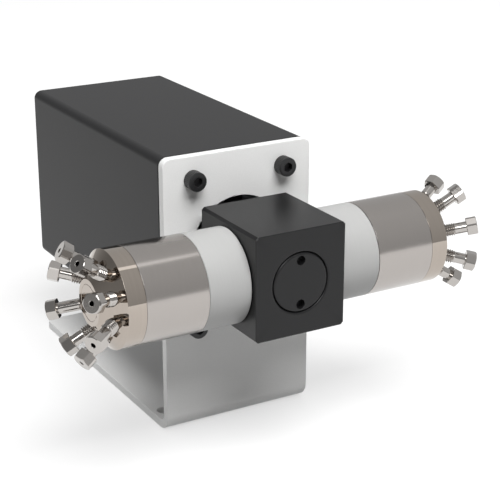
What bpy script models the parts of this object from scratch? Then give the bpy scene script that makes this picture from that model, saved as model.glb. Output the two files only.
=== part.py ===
"""Column selector valve: two rotary valves turned together by one geared motor.

The motor's shaft drives a mitre gear in a small block. Two more mitre gears carry the turn
out to the left and the right, where each turns the rotor of an eight-port valve.
"""

import math

import bmesh
import bpy
from mathutils import Matrix, Vector

for item in list(bpy.data.objects):
    bpy.data.objects.remove(item)

MM = 0.001

# Clearances
seat_gap = 0.3 * MM  # between faces that rest on each other
running_gap = 0.4 * MM  # between a turning piece and a fixed one

# Bracket: one plate bent to an L
bracket_width = 59.6 * MM
bracket_height = 104.0 * MM
bracket_front = 56.5 * MM  # from the middle of the frame to the bracket's front face
base_length = 115.7 * MM
bracket_thickness = 3.2 * MM
bend_radius = 3.2 * MM  # inside of the bend
corner_radius = 3.1 * MM  # free corners, shared with the cover
base_hole_radius = 2.7 * MM
base_hole_inset_x = 4.7 * MM  # from the plate's long edges
base_hole_inset_y = 12.3 * MM  # from the plate's front
base_hole_pitch = 67.0 * MM  # from the front holes to the rear ones
hub_hole_clearance = 2.2 * MM  # all round the hub

# Actuator
shaft_height = 67.9 * MM  # all shafts lie at this height
cover_length = 113.1 * MM
cover_bottom = 34.2 * MM
cover_wall = 1.5 * MM
front_plate_thickness = 5.0 * MM
front_plate_bore = 12.6 * MM
rear_panel_thickness = 2.0 * MM
rear_panel_recess = 0.5 * MM
tie_rod_radius = 3.0 * MM
gearhead_flange_radius = 21.4 * MM
gearhead_flange_thickness = 4.0 * MM
gearhead_radius = 15.8 * MM
gearhead_length = 27.0 * MM
gearhead_bore_depth = 12.0 * MM
gearhead_bolt_inset = 2.6 * MM  # from the flange's rim
motor_size = 42.3 * MM
motor_length = 40.0 * MM
motor_cap_length = 9.0 * MM
motor_corner = 4.5 * MM
motor_stack_share = 0.97  # the iron stack's size as a share of the caps'
board_edge_x = 0.7 * MM  # from the board to the tie rods
board_edge_z = 6.4 * MM  # from the board to the cover's walls
board_thickness = 1.6 * MM
board_distance = 10.0 * MM  # from the board to the rear panel
board_pillar_radius = 2.4 * MM
board_pillar_inset = 4.0 * MM
chip_rise = 1.5 * MM
# Each chip's middle and size, as shares of the board's width and height
chips = ((-0.19, -0.22, 0.286, 0.222), (0.24, -0.26, 0.19, 0.093))
capacitor_radius = 4.0 * MM
capacitor_length = 8.2 * MM
capacitor_place = (0.214, 0.222)  # shares of the board's width and height
serial_width = 30.8 * MM
serial_height = 12.5 * MM
serial_shell_width = 16.9 * MM
serial_shell_height = 8.3 * MM
serial_reach = 5.6 * MM
serial_slant = math.radians(10)
serial_drop = 9.2 * MM  # below the cover's middle
jack_radius = 4.5 * MM
jack_reach = 2.0 * MM
jack_rise = 13.8 * MM  # above the cover's middle
jack_bore = 2.9 * MM
jack_bore_depth = 9.0 * MM
jack_pin = 1.0 * MM
jack_pin_setback = 1.0 * MM

# Hub between actuator and gear block
block_standoff = 5.0 * MM  # from the bracket's face to the block
hub_radius = 16.6 * MM
hub_wall = 2.4 * MM
hub_flange_thickness = 3.5 * MM

# Gear block
block_width = 35.0 * MM
block_depth = 37.6 * MM
block_height = 37.6 * MM
block_chamfer = 0.9 * MM
plug_radius = 10.6 * MM
plug_depth = 6.0 * MM
spanner_hole_radius = 1.55 * MM
spanner_hole_inset = 2.75 * MM  # from the plug's rim
spanner_hole_depth = 2.0 * MM

# Mitre gears
gear_teeth = 16
gear_pitch_radius = 7.2 * MM
gear_face_width = 3.6 * MM
gear_hub_radius = 5.0 * MM
gear_back = 12.4 * MM  # from the crossing of the shafts to the back of a gear
gear_backlash = 0.16  # share of the tooth's thickness
pressure_angle = math.radians(20)
chamber_room = 2.65 * MM  # from the pitch circle to the chamber's wall
cross_chamber_room = 1.55 * MM
chamber_end_room = 0.5 * MM  # behind a gear's back

# Shafts and bearings
shaft_radius = 2.5 * MM
journal_radius = 2.0 * MM
front_bearing_radius = 5.0 * MM
front_bearing_width = 3.0 * MM
rear_bearing_radius = 8.0 * MM
rear_bearing_width = 5.0 * MM
side_bearing_radius = 6.5 * MM
side_bearing_width = 3.5 * MM
coupling_radius = 6.0 * MM
coupling_length = 11.6 * MM
encoder_room = 0.8 * MM  # round the disc in the front plate's bore
encoder_thickness = 0.8 * MM
encoder_windows = 8
encoder_window_depth = 2.0 * MM
sensor_width = 7.0 * MM
sensor_height = 7.6 * MM
sensor_depth = 4.4 * MM
sensor_overlap = 2.2 * MM  # how far the disc reaches into the sensor's slot

# Valves
valve_radius = 16.9 * MM
spacer_length = 16.0 * MM
spacer_wall = 3.7 * MM
spacer_flange_thickness = 3.5 * MM
spacer_bore = 7.2 * MM
barrel_length = 22.7 * MM
barrel_end_wall = 3.5 * MM
barrel_bore = 9.2 * MM
edge_chamfer = 0.3 * MM
stator_rim_length = 6.55 * MM
cone_height = 6.25 * MM
cone_end_radius = 7.95 * MM
end_groove_radius = 6.3 * MM
end_groove_width = 0.5 * MM
end_groove_depth = 0.3 * MM
driver_radius = 4.0 * MM
driver_reach = 8.6 * MM  # into the spacer
driver_socket_depth = 5.3 * MM
driver_tang_width = 3.0 * MM
driver_tang_height = 1.8 * MM
driver_tang_inset = 1.0 * MM  # from the rotor's rim
rotor_radius = 6.2 * MM
rotor_thickness = 5.4 * MM
rotor_groove_width = 0.6 * MM
rotor_groove_depth = 0.4 * MM
thrust_bearing_width = 3.0 * MM
spring_thickness = 0.8 * MM
spring_cone = 0.7 * MM

# Ports and tube nuts
port_count = 8
port_circle_radius = 12.0 * MM  # where the port's axis meets the cone
passage_radius = 0.4 * MM
nut_hex = 6.35 * MM
nut_face_share = 0.97  # the flat end as a share of the hexagon
nut_chamfer = math.radians(30)
nut_head_length = 3.8 * MM
nut_reach = 11.4 * MM  # from the cone to the nut's end
nut_thread_radius = 2.4 * MM
nut_neck_radius = 2.0 * MM
nut_neck_length = 3.9 * MM
nut_thread_depth = 5.5 * MM
nut_bore = 0.85 * MM
long_nut = ("left", 3)  # the nut that stands further out
long_nut_extra = 1.2 * MM
long_nut_neck_extra = 3.3 * MM
ferrule_length = 2.4 * MM
ferrule_tip_radius = 1.2 * MM

# Screws: shank radius, head radius, head height
sink = 0.1 * MM  # how far a piece that is joined to another reaches into it
bracket_screw = (2.0 * MM, 3.5 * MM, 4.0 * MM)
small_screw = (1.5 * MM, 2.5 * MM, 2.4 * MM)
panel_screw = (1.5 * MM, 2.6 * MM, 1.6 * MM)
bracket_screw_inset = 11.6 * MM  # from the bracket's sides
bracket_screw_drop = 8.5 * MM  # upper screws, from the bracket's top
bracket_screw_rise = 6.1 * MM  # lower screws, from the cover's lower edge
socket_hex = 3.2 * MM
socket_depth = 2.0 * MM
head_chamfer_share = 0.1  # of the head's radius
screw_grip = 4.5 * MM  # length of thread in the piece that holds the screw
spacer_screw_grip = 3.5 * MM
overshoot = 1.0 * MM  # how far a cutter reaches past a face

# Facets round a turned piece
large = 28
medium = 16
modest = 12
small = 8
sharp_angle = math.radians(30)  # edges flatter than this are shaded smooth

# Places worked out from the sizes above
front_face = -bracket_front
base_rear = front_face + base_length
plate_back = front_face + bracket_thickness
actuator_front = plate_back + seat_gap
cover_end = actuator_front + cover_length
cover_height = bracket_height - cover_bottom
cover_middle = (bracket_height + cover_bottom) / 2
rod_inset = cover_wall + tie_rod_radius + 2 * seat_gap
board_width = bracket_width - 2 * (rod_inset + tie_rod_radius + board_edge_x)
board_height = cover_height - 2 * (cover_wall + board_edge_z)
serial_height_middle = cover_middle - serial_drop
jack_height = cover_middle + jack_rise
gearhead_bolt_radius = gearhead_flange_radius - gearhead_bolt_inset
plate_screw_grip = front_plate_thickness - seat_gap
valve_y = front_face - block_standoff - block_depth / 2
crossing = Vector((0, valve_y, shaft_height))
shaft_line = Vector((0, 0, shaft_height))
block_back = valve_y + block_depth / 2
bore_side = shaft_radius + seat_gap
screw_clearance = seat_gap
chamber_radius = gear_pitch_radius + chamber_room
cross_chamber_radius = gear_pitch_radius + cross_chamber_room
chamber_end = gear_back + chamber_end_room
hub_cavity_radius = hub_radius - hub_wall
hub_bolt_radius = hub_cavity_radius - small_screw[1] - seat_gap
hub_bore = rear_bearing_radius + 2 * seat_gap
hub_hole_radius = hub_radius + hub_hole_clearance
encoder_radius = front_plate_bore - encoder_room
spacer_bolt_radius = valve_radius - spacer_wall - small_screw[1] - seat_gap
driver_flange_radius = barrel_bore - 2 * running_gap
spacer_start = block_width / 2 + seat_gap
spacer_end = block_width / 2 + spacer_length
barrel_start = spacer_end + seat_gap
barrel_end = spacer_end + barrel_length
stator_start = barrel_end + seat_gap
rim_end = barrel_end + stator_rim_length
cone_end = rim_end + cone_height
port_tilt = math.atan2(cone_height, valve_radius - cone_end_radius)

parts = bpy.data.collections.new("column_selector_valve")
cutters = bpy.data.collections.new("cutters")
bpy.context.scene.collection.children.link(parts)
bpy.context.scene.collection.children.link(cutters)


def material(name, colour, roughness, metallic=0.0):
    """A plain surface: colour as linear red, green and blue."""
    finish = bpy.data.materials.new(name)
    finish.use_nodes = True
    shader = finish.node_tree.nodes["Principled BSDF"]
    shader.inputs["Base Color"].default_value = (*colour, 1.0)
    shader.inputs["Roughness"].default_value = roughness
    shader.inputs["Metallic"].default_value = metallic
    finish.diffuse_color = (*colour, 1.0)
    return finish


white_paint = ((0.68, 0.68, 0.67), 0.45, 0.0)
black_paint = ((0.045, 0.045, 0.047), 0.5, 0.0)
black_anodised = ((0.03, 0.03, 0.032), 0.45, 0.3)
steel = ((0.55, 0.53, 0.51), 0.3, 1.0)
warm_steel = ((0.48, 0.44, 0.40), 0.28, 1.0)
dark_steel = ((0.05, 0.05, 0.052), 0.4, 0.8)
aluminium = ((0.6, 0.6, 0.61), 0.35, 1.0)
white_plastic = ((0.7, 0.7, 0.69), 0.5, 0.0)
black_plastic = ((0.02, 0.02, 0.02), 0.5, 0.0)
brass = ((0.6, 0.42, 0.18), 0.3, 1.0)
board_green = ((0.02, 0.12, 0.05), 0.4, 0.0)
polymer = ((0.5, 0.38, 0.22), 0.5, 0.0)


def add(name, mesh, finish, place=None, collection=None):
    """Put a mesh into the scene as one named object."""
    piece = bpy.data.objects.new(name, mesh)
    (collection or parts).objects.link(piece)
    if finish is not None:
        mesh.materials.clear()
        mesh.materials.append(material(name, *finish))
    if place is not None:
        piece.matrix_world = place
    return piece


def smooth(mesh):
    """Shade round faces smooth and keep the real edges sharp."""
    mesh.shade_smooth()
    mesh.set_sharp_from_angle(angle=sharp_angle)


def settled_mesh(piece):
    """The finished mesh of an object whose modifiers are applied."""
    graph = bpy.context.evaluated_depsgraph_get()
    return bpy.data.meshes.new_from_object(piece.evaluated_get(graph))


def along(direction, origin=crossing):
    """A place whose own Z axis points along a direction."""
    turn = Vector((0, 0, 1)).rotation_difference(Vector(direction))
    return Matrix.Translation(origin) @ turn.to_matrix().to_4x4()


def facing_front(x, y, z):
    """A place for a flat outline: its X is across, its Y is up, and it faces the front."""
    return Matrix.Translation((x, y, z)) @ Matrix.Rotation(math.radians(90), 4, "X")


def turned(name, profile, place, finish, steps=medium, collection=None):
    """A turned piece: points (radius, height) spun round Z with a Screw modifier.

    A profile that starts and ends on the axis is solid, and any other is a closed ring.
    """
    pairs = list(zip(profile, profile[1:] + profile[:1]))
    turn = sum(a[0] * b[1] - b[0] * a[1] for a, b in pairs)
    points = profile if turn < 0 else profile[::-1]
    mesh = bpy.data.meshes.new(name)
    edges = [(i, i + 1) for i in range(len(points) - 1)]
    if points[0][0] > 0 or points[-1][0] > 0:
        edges.append((len(points) - 1, 0))
    mesh.from_pydata([(radius, 0, height) for radius, height in points], edges, [])
    wire = add(name, mesh, None, None, collection)
    spin = wire.modifiers.new("turn", "SCREW")
    spin.axis = "Z"
    spin.steps = steps
    spin.render_steps = steps
    spin.use_merge_vertices = True
    spin.merge_threshold = 0.00001
    spin.use_smooth_shade = True
    solid = settled_mesh(wire)
    bpy.data.objects.remove(wire)
    smooth(solid)
    return add(name, solid, finish, place, collection)


def flat(name, outlines, thickness, place, finish, collection=None):
    """A flat plate: the first outline filled, with the others as holes."""
    curve = bpy.data.curves.new(name, "CURVE")
    curve.dimensions = "2D"
    curve.fill_mode = "BOTH"
    curve.extrude = thickness / 2
    for outline in outlines:
        spline = curve.splines.new("POLY")
        spline.points.add(len(outline) - 1)
        spline.use_cyclic_u = True
        for point, (x, y) in zip(spline.points, outline):
            point.co = (x, y, 0, 1)
    shape = bpy.data.objects.new(name, curve)
    bpy.context.scene.collection.objects.link(shape)
    shape.matrix_world = place
    solid = settled_mesh(shape)
    bpy.data.objects.remove(shape)
    weld(solid)
    return add(name, solid, finish, place, collection)


def weld(mesh):
    """Join points that lie on each other, and turn all faces outwards."""
    work = bmesh.new()
    work.from_mesh(mesh)
    bmesh.ops.remove_doubles(work, verts=work.verts, dist=0.00001)
    bmesh.ops.recalc_face_normals(work, faces=work.faces)
    work.to_mesh(mesh)
    work.free()


def skin(name, rings, finish, closed=False):
    """A mesh over rings of equal count; open ends are capped, or the last ring meets the first."""
    work = bmesh.new()
    loops = [[work.verts.new(point) for point in ring] for ring in rings]
    count = len(rings[0])
    spans = list(zip(loops, loops[1:]))
    if closed:
        spans.append((loops[-1], loops[0]))
    else:
        work.faces.new(loops[0])
        work.faces.new(loops[-1])
    for lower, upper in spans:
        for i in range(count):
            j = (i + 1) % count
            work.faces.new((lower[i], lower[j], upper[j], upper[i]))
    bmesh.ops.recalc_face_normals(work, faces=work.faces)
    mesh = bpy.data.meshes.new(name)
    work.to_mesh(mesh)
    work.free()
    smooth(mesh)
    mesh.materials.append(material(name, *finish))
    return mesh


def block(name, size, place, finish, collection=None):
    """A plain box of a size, centred on its place."""
    work = bmesh.new()
    bmesh.ops.create_cube(work, size=1.0, matrix=Matrix.Diagonal((*size, 1.0)))
    mesh = bpy.data.meshes.new(name)
    work.to_mesh(mesh)
    work.free()
    return add(name, mesh, finish, place, collection)


def cut(piece, tools, operation="DIFFERENCE"):
    """Cut a piece with hidden tools, or join them to it, and keep the finished mesh."""
    for tool in tools:
        tool.hide_render = True
        tool.display_type = "WIRE"
        step = piece.modifiers.new(tool.name, "BOOLEAN")
        step.operation = operation
        step.object = tool
    bpy.context.view_layer.update()
    solid = settled_mesh(piece)
    piece.modifiers.clear()
    weld(solid)
    smooth(solid)
    piece.data = solid
    return piece


def hole(name, radius, start, end, place, steps=medium):
    """A round cutter from one height to another along the place's own Z axis."""
    profile = [(0, start), (radius, start), (radius, end), (0, end)]
    return turned(name, profile, place, None, steps, cutters)


def circle(radius, count, middle=(0, 0)):
    """Points round a circle."""
    angles = [2 * math.pi * i / count for i in range(count)]
    return [(middle[0] + radius * math.cos(a), middle[1] + radius * math.sin(a)) for a in angles]


def rounded_rectangle(width, height, radius, steps=5, middle=(0, 0)):
    """A rectangle whose corners are quarter circles."""
    points = []
    for quarter, (side_x, side_y) in enumerate(((1, 1), (-1, 1), (-1, -1), (1, -1))):
        cx = middle[0] + side_x * (width / 2 - radius)
        cy = middle[1] + side_y * (height / 2 - radius)
        for i in range(steps + 1):
            a = math.pi / 2 * (quarter + i / steps)
            points.append((cx + radius * math.cos(a), cy + radius * math.sin(a)))
    return points


def four_places(spacing_x, spacing_z, y, middle_z):
    """The four corners of a rectangle in a plane that faces the front."""
    return [(x * spacing_x / 2, y, middle_z + z * spacing_z / 2) for z in (1, -1) for x in (1, -1)]


def bolt_circle(radius, count, first=0.0):
    """Points round a circle for bolts, as (across, up)."""
    angles = [first + 2 * math.pi * i / count for i in range(count)]
    return [(radius * math.cos(a), radius * math.sin(a)) for a in angles]


def fixed_screw(size, length, place, steps=small):
    """A screw to be joined to the piece it holds down, with its head sunk a little into it."""
    shank, head, height = size
    profile = [
        (0, height), (head, height), (head, -sink),
        (shank, -sink), (shank, -length), (0, -length),
    ]
    return turned("screw", profile, place, None, steps, cutters)


def hexagon_radius(across_flats, angle):
    """Distance from the middle of a hexagon to its edge at an angle."""
    from_flat = (angle + math.pi / 6) % (math.pi / 3) - math.pi / 6
    return across_flats / 2 / math.cos(from_flat)


def ring_points(radius, height, angles):
    """Points round Z; radius and height may each be a number or a rule of the angle."""
    points = []
    for angle in angles:
        r = radius(angle) if callable(radius) else radius
        z = height(angle) if callable(height) else height
        points.append((r * math.cos(angle), r * math.sin(angle), z))
    return points


def socket_screw(name, size, length):
    """A cap screw with a hexagon socket, its head's underside at the origin."""
    shank, head, height = size
    angles = [2 * math.pi * i / modest for i in range(modest)]
    chamfer = head * head_chamfer_share
    rings = [
        ring_points(lambda a: hexagon_radius(socket_hex, a), height - socket_depth, angles),
        ring_points(lambda a: hexagon_radius(socket_hex, a), height, angles),
        ring_points(head - chamfer, height, angles),
        ring_points(head, height - chamfer, angles),
        ring_points(head, 0, angles),
        ring_points(shank, 0, angles),
        ring_points(shank, -length, angles),
    ]
    return skin(name, rings, dark_steel)


def make_bracket():
    """The L plate: a bent profile drawn from the side, trimmed and drilled."""
    outer = bend_radius + bracket_thickness
    arc = [math.pi / 2 * i / 6 for i in range(7)]
    bend_y = front_face + outer
    outline = [(front_face, bracket_height)]
    outline += [(bend_y - outer * math.cos(a), outer - outer * math.sin(a)) for a in arc]
    outline += [(base_rear, 0), (base_rear, bracket_thickness)]
    inner = [(bend_y - bend_radius * math.cos(a), outer - bend_radius * math.sin(a)) for a in arc]
    outline += inner[::-1]
    outline.append((plate_back, bracket_height))
    side_view = Matrix(((0, 0, 1, 0), (1, 0, 0, 0), (0, 1, 0, 0), (0, 0, 0, 1)))
    bracket = flat("bracket", [outline], bracket_width, side_view, white_paint)
    trim_height = bracket_height + 2 * corner_radius
    trim_middle = bracket_height - trim_height / 2
    trim = rounded_rectangle(bracket_width, trim_height, corner_radius)
    depth = 3 * base_length
    keep = flat("bracket_trim", [trim], depth, facing_front(0, 0, trim_middle), None, cutters)
    cut(bracket, [keep], "INTERSECT")
    trim_length = base_length + 2 * corner_radius
    trim = rounded_rectangle(bracket_width, trim_length, corner_radius)
    place = Matrix.Translation((0, base_rear - trim_length / 2, 0))
    keep = flat("base_trim", [trim], 3 * bracket_height, place, None, cutters)
    cut(bracket, [keep], "INTERSECT")
    line = along((0, 1, 0), (0, front_face, shaft_height))
    drills = [hole("hub_hole", hub_hole_radius, -outer, outer, line, large)]
    clearance = bracket_screw[0] + screw_clearance
    for spot in bracket_screw_spots(front_face):
        drills.append(hole("screw_hole", clearance, -outer, outer, along((0, 1, 0), spot), small))
    hole_x = bracket_width / 2 - base_hole_inset_x
    hole_y = front_face + base_hole_inset_y
    for x in (-hole_x, hole_x):
        for y in (hole_y, hole_y + base_hole_pitch):
            place = Matrix.Translation((x, y, 0))
            drills.append(hole("base_hole", base_hole_radius, -outer, outer, place, modest))
    return cut(bracket, drills)


def bracket_screw_spots(y):
    """Two screws below the bracket's top edge and two above the cover's lower edge."""
    x = bracket_width / 2 - bracket_screw_inset
    high = bracket_height - bracket_screw_drop
    low = cover_bottom + bracket_screw_rise
    return [(side * x, y, z) for z in (high, low) for side in (1, -1)]


def make_bracket_screws():
    """Four cap screws through the bracket into the front plate."""
    length = bracket_thickness + 2 * seat_gap + plate_screw_grip
    mesh = socket_screw("bracket_screw", bracket_screw, length)
    for number, spot in enumerate(bracket_screw_spots(front_face - seat_gap), 1):
        add(f"bracket_screw_{number}", mesh, None, facing_front(*spot))


def inside_cover(inset):
    """The outline inside the cover's walls, smaller by an inset all round."""
    width = bracket_width - 2 * (cover_wall + inset)
    height = cover_height - 2 * (cover_wall + inset)
    return rounded_rectangle(width, height, corner_radius - cover_wall)


def tie_rod_spots(y):
    """Rods stand in the cover's four corners, a little off its walls."""
    spacing_x = bracket_width - 2 * rod_inset
    spacing_z = cover_height - 2 * rod_inset
    return four_places(spacing_x, spacing_z, y, cover_middle)


def make_cover():
    """A four-sided sleeve, open at both ends."""
    outside = rounded_rectangle(bracket_width, cover_height, corner_radius)
    place = facing_front(0, actuator_front + cover_length / 2, cover_middle)
    return flat("actuator_cover", [outside, inside_cover(0)], cover_length, place, black_paint)


def make_front_plate():
    """The plate behind the bracket that carries the actuator's insides, with its tie rods."""
    y = actuator_front + front_plate_thickness / 2
    outline = inside_cover(seat_gap)
    drop = shaft_height - cover_middle
    bore = circle(front_plate_bore, large, (0, drop))
    place = facing_front(0, y, cover_middle)
    plate = flat("actuator_front_plate", [outline, bore], front_plate_thickness, place, aluminium)
    tools = []
    half = front_plate_thickness
    thread = bracket_screw[0] + screw_clearance
    for spot in bracket_screw_spots(y):
        tools.append(hole("thread", thread, -half, half, along((0, 1, 0), spot), small))
    narrow = small_screw[0] + screw_clearance
    for x, z in bolt_circle(gearhead_bolt_radius, 4, math.pi / 4):
        spot = (x, y, shaft_height + z)
        tools.append(hole("small_thread", narrow, -half, half, along((0, 1, 0), spot), small))
    notch = (sensor_width + 2 * seat_gap, 2 * half, sensor_height + 2 * seat_gap)
    middle = Matrix.Translation((0, y, shaft_height + sensor_middle_height()))
    tools.append(block("sensor_notch", notch, middle, None, cutters))
    cut(plate, tools)
    return cut(plate, tie_rods(), "UNION")


def sensor_middle_height():
    """Height of the sensor's middle above the shaft line."""
    return encoder_radius - sensor_overlap + sensor_height / 2


def encoder_y():
    """The encoder disc turns in the middle of the front plate's bore."""
    return actuator_front + front_plate_thickness / 2


def make_position_sensor():
    """A fork whose slot the encoder disc passes through."""
    place = Matrix.Translation((0, encoder_y(), shaft_height + sensor_middle_height()))
    body = block("position_sensor", (sensor_width, sensor_depth, sensor_height), place, black_plastic)
    slot_height = 2 * (sensor_overlap + 2 * running_gap)
    slot_width = encoder_thickness + 2 * running_gap
    low = Matrix.Translation((0, encoder_y(), shaft_height + encoder_radius - sensor_overlap))
    slot = block("sensor_slot", (2 * sensor_width, slot_width, slot_height), low, None, cutters)
    return cut(body, [slot])


def make_hub():
    """The dark ring that carries the gear block, with its four screws in place."""
    start = block_back + seat_gap
    step = start + hub_flange_thickness
    end = actuator_front - seat_gap
    profile = [
        (hub_radius, end), (hub_radius, start), (hub_bore, start),
        (hub_bore, step), (hub_cavity_radius, step), (hub_cavity_radius, end),
    ]
    hub = turned("hub", profile, along((0, 1, 0), shaft_line), black_anodised, large)
    length = hub_flange_thickness + seat_gap + screw_grip
    tools = []
    for x, z in bolt_circle(hub_bolt_radius, 4, math.pi / 4):
        place = along((0, 1, 0), (x, step, shaft_height + z))
        tools.append(fixed_screw(small_screw, length, place))
    return cut(hub, tools, "UNION")


def gearhead_front():
    return actuator_front + front_plate_thickness + seat_gap


def make_gearhead():
    """A round gearbox whose flange is screwed to the back of the front plate."""
    start = gearhead_front()
    step = start + gearhead_flange_thickness
    end = start + gearhead_length
    bore_end = start + gearhead_bore_depth
    profile = [
        (0, end), (gearhead_radius, end), (gearhead_radius, step),
        (gearhead_flange_radius, step), (gearhead_flange_radius, start),
        (bore_side, start), (bore_side, bore_end), (0, bore_end),
    ]
    gearhead = turned("gearhead", profile, along((0, 1, 0), shaft_line), aluminium)
    length = gearhead_flange_thickness + seat_gap + plate_screw_grip
    tools = []
    for x, z in bolt_circle(gearhead_bolt_radius, 4, math.pi / 4):
        place = along((0, 1, 0), (x, step, shaft_height + z))
        tools.append(fixed_screw(small_screw, length, place))
    return cut(gearhead, tools, "UNION")


def make_motor():
    """A square motor: two end caps with a slightly smaller stack of iron between them."""
    start = gearhead_front() + gearhead_length + seat_gap
    half = motor_size / 2
    corner = motor_corner
    octagon = [
        (half, half - corner), (half - corner, half), (corner - half, half), (-half, half - corner),
        (-half, corner - half), (corner - half, -half), (half - corner, -half), (half, corner - half),
    ]
    second_cap = motor_length - motor_cap_length
    levels = [
        (1, 0), (1, motor_cap_length), (motor_stack_share, motor_cap_length),
        (motor_stack_share, second_cap), (1, second_cap), (1, motor_length),
    ]
    rings = [[(x * scale, y * scale, height) for x, y in octagon] for scale, height in levels]
    place = along((0, 1, 0), (0, start, shaft_height))
    return add("motor", skin("motor", rings, black_paint), None, place)


def rear_panel_front():
    return cover_end - rear_panel_recess - rear_panel_thickness


def tie_rods():
    """Four rods that stand on the front plate; the rear panel is screwed to their ends."""
    start = actuator_front + front_plate_thickness - sink
    end = rear_panel_front() - seat_gap
    thread = small_screw[0] + screw_clearance
    bottom = end - screw_grip - seat_gap
    profile = [
        (0, start), (tie_rod_radius, start), (tie_rod_radius, end),
        (thread, end), (thread, bottom), (0, bottom),
    ]
    places = [along((0, 1, 0), spot) for spot in tie_rod_spots(0)]
    return [turned("tie_rod", profile, place, None, small, cutters) for place in places]


def make_rear_panel():
    """A plate just inside the cover's end, with its screws and the pillars that carry the board."""
    front = rear_panel_front()
    back = front + rear_panel_thickness
    socket = [(x, y - serial_drop) for x, y in serial_outline(seat_gap)]
    jack = circle(jack_radius + seat_gap, medium, (0, jack_rise))
    place = facing_front(0, (front + back) / 2, cover_middle)
    outlines = [inside_cover(seat_gap), socket, jack]
    panel = flat("rear_panel", outlines, rear_panel_thickness, place, black_paint)
    length = rear_panel_thickness + seat_gap + screw_grip
    tools = []
    for spot in tie_rod_spots(back):
        tools.append(fixed_screw(panel_screw, length, along((0, 1, 0), spot), small))
    spacing_x = board_width - 2 * board_pillar_inset
    spacing_z = board_height - 2 * board_pillar_inset
    low = board_face() + seat_gap
    for spot in four_places(spacing_x, spacing_z, 0, cover_middle):
        place = along((0, 1, 0), spot)
        tools.append(hole("pillar", board_pillar_radius, low, front + sink, place, 6))
    return cut(panel, tools, "UNION")


def board_face():
    """Where the board's rear face lies."""
    return rear_panel_front() - board_distance


def make_control_board():
    """A circuit board with its chips and a capacitor, parallel to the rear panel."""
    y = board_face() - board_thickness / 2
    size = (board_width, board_thickness, board_height)
    board = block("control_board", size, Matrix.Translation((0, y, cover_middle)), board_green)
    front = board_face() - board_thickness
    tools = []
    for x, z, width, height in chips:
        size = (width * board_width, chip_rise + board_thickness / 2, height * board_height)
        middle = (x * board_width, front - chip_rise + size[1] / 2, cover_middle + z * board_height)
        tools.append(block("chip", size, Matrix.Translation(middle), None, cutters))
    x, z = capacitor_place
    foot = (x * board_width, front, cover_middle + z * board_height)
    line = along((0, -1, 0), foot)
    tools.append(hole("capacitor", capacitor_radius, -sink, capacitor_length, line, modest))
    return cut(board, tools, "UNION")


def serial_outline(grow):
    """The connector's D shape, grown all round by an amount."""
    half_width = serial_shell_width / 2 + grow
    half_height = serial_shell_height / 2 + grow
    slant = serial_shell_height * math.tan(serial_slant)
    return [
        (half_width, half_height), (-half_width, half_height),
        (slant - half_width, -half_height), (half_width - slant, -half_height),
    ]


def make_serial_connector():
    """A nine-way connector: a body on the board and a D-shaped shell through the panel."""
    z = serial_height_middle
    length = board_distance - 2 * seat_gap
    start = board_face() + seat_gap
    place = Matrix.Translation((0, start + length / 2, z))
    body = block("serial_connector", (serial_width, length, serial_height), place, aluminium)
    reach = cover_end + serial_reach - start - length / 2
    middle = facing_front(0, start + length / 2 + reach / 2, z)
    tool = flat("serial_shell", [serial_outline(0)], reach, middle, None, cutters)
    return cut(body, [tool], "UNION")


def make_power_jack():
    """A round inlet with a centre pin; its body stands on the board."""
    start = board_face() + seat_gap
    end = cover_end + jack_reach
    bottom = end - jack_bore_depth
    tip = end - jack_pin_setback
    profile = [
        (0, start), (jack_radius, start), (jack_radius, end), (jack_bore, end),
        (jack_bore, bottom), (jack_pin, bottom), (jack_pin, tip), (0, tip),
    ]
    place = along((0, 1, 0), (0, 0, jack_height))
    return turned("power_jack", profile, place, black_plastic)


def make_gear_block():
    """A chamfered block, bored along the motor's axis and across it."""
    half_width = block_width / 2
    half_height = block_height / 2
    c = block_chamfer
    outline = [
        (half_width, half_height - c), (half_width - c, half_height),
        (c - half_width, half_height), (-half_width, half_height - c),
        (-half_width, c - half_height), (c - half_width, -half_height),
        (half_width - c, -half_height), (half_width, c - half_height),
    ]
    body = flat("gear_block", [outline], block_depth, facing_front(*crossing), black_anodised)
    front = block_depth / 2
    past = front + overshoot
    plug_end = plug_depth - front
    plug_thread = plug_radius + seat_gap
    rear_seat = rear_bearing_radius + seat_gap
    side_seat = side_bearing_radius + seat_gap
    motor_bore = [
        (0, -past), (plug_thread, -past), (plug_thread, plug_end + seat_gap),
        (chamber_radius, plug_end + seat_gap), (chamber_radius, chamber_end),
        (rear_seat, chamber_end), (rear_seat, past), (0, past),
    ]
    cross_bore = [
        (0, -block_width), (side_seat, -block_width), (side_seat, -chamber_end),
        (cross_chamber_radius, -chamber_end), (cross_chamber_radius, chamber_end),
        (side_seat, chamber_end), (side_seat, block_width), (0, block_width),
    ]
    tools = [
        turned("motor_bore", motor_bore, along((0, 1, 0)), None, large, cutters),
        turned("cross_bore", cross_bore, along((1, 0, 0)), None, medium, cutters),
    ]
    thread = small_screw[0] + screw_clearance
    start = front - screw_grip - seat_gap
    for x, z in bolt_circle(hub_bolt_radius, 4, math.pi / 4):
        place = along((0, 1, 0), crossing + Vector((x, 0, z)))
        tools.append(hole("hub_thread", thread, start, past, place, small))
    start = half_width - spacer_screw_grip - seat_gap
    for side in (-1, 1):
        for place in spacer_screw_places(side, 0):
            tools.append(hole("spacer_thread", thread, start, half_width + overshoot, place, small))
    return cut(body, tools)


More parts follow.
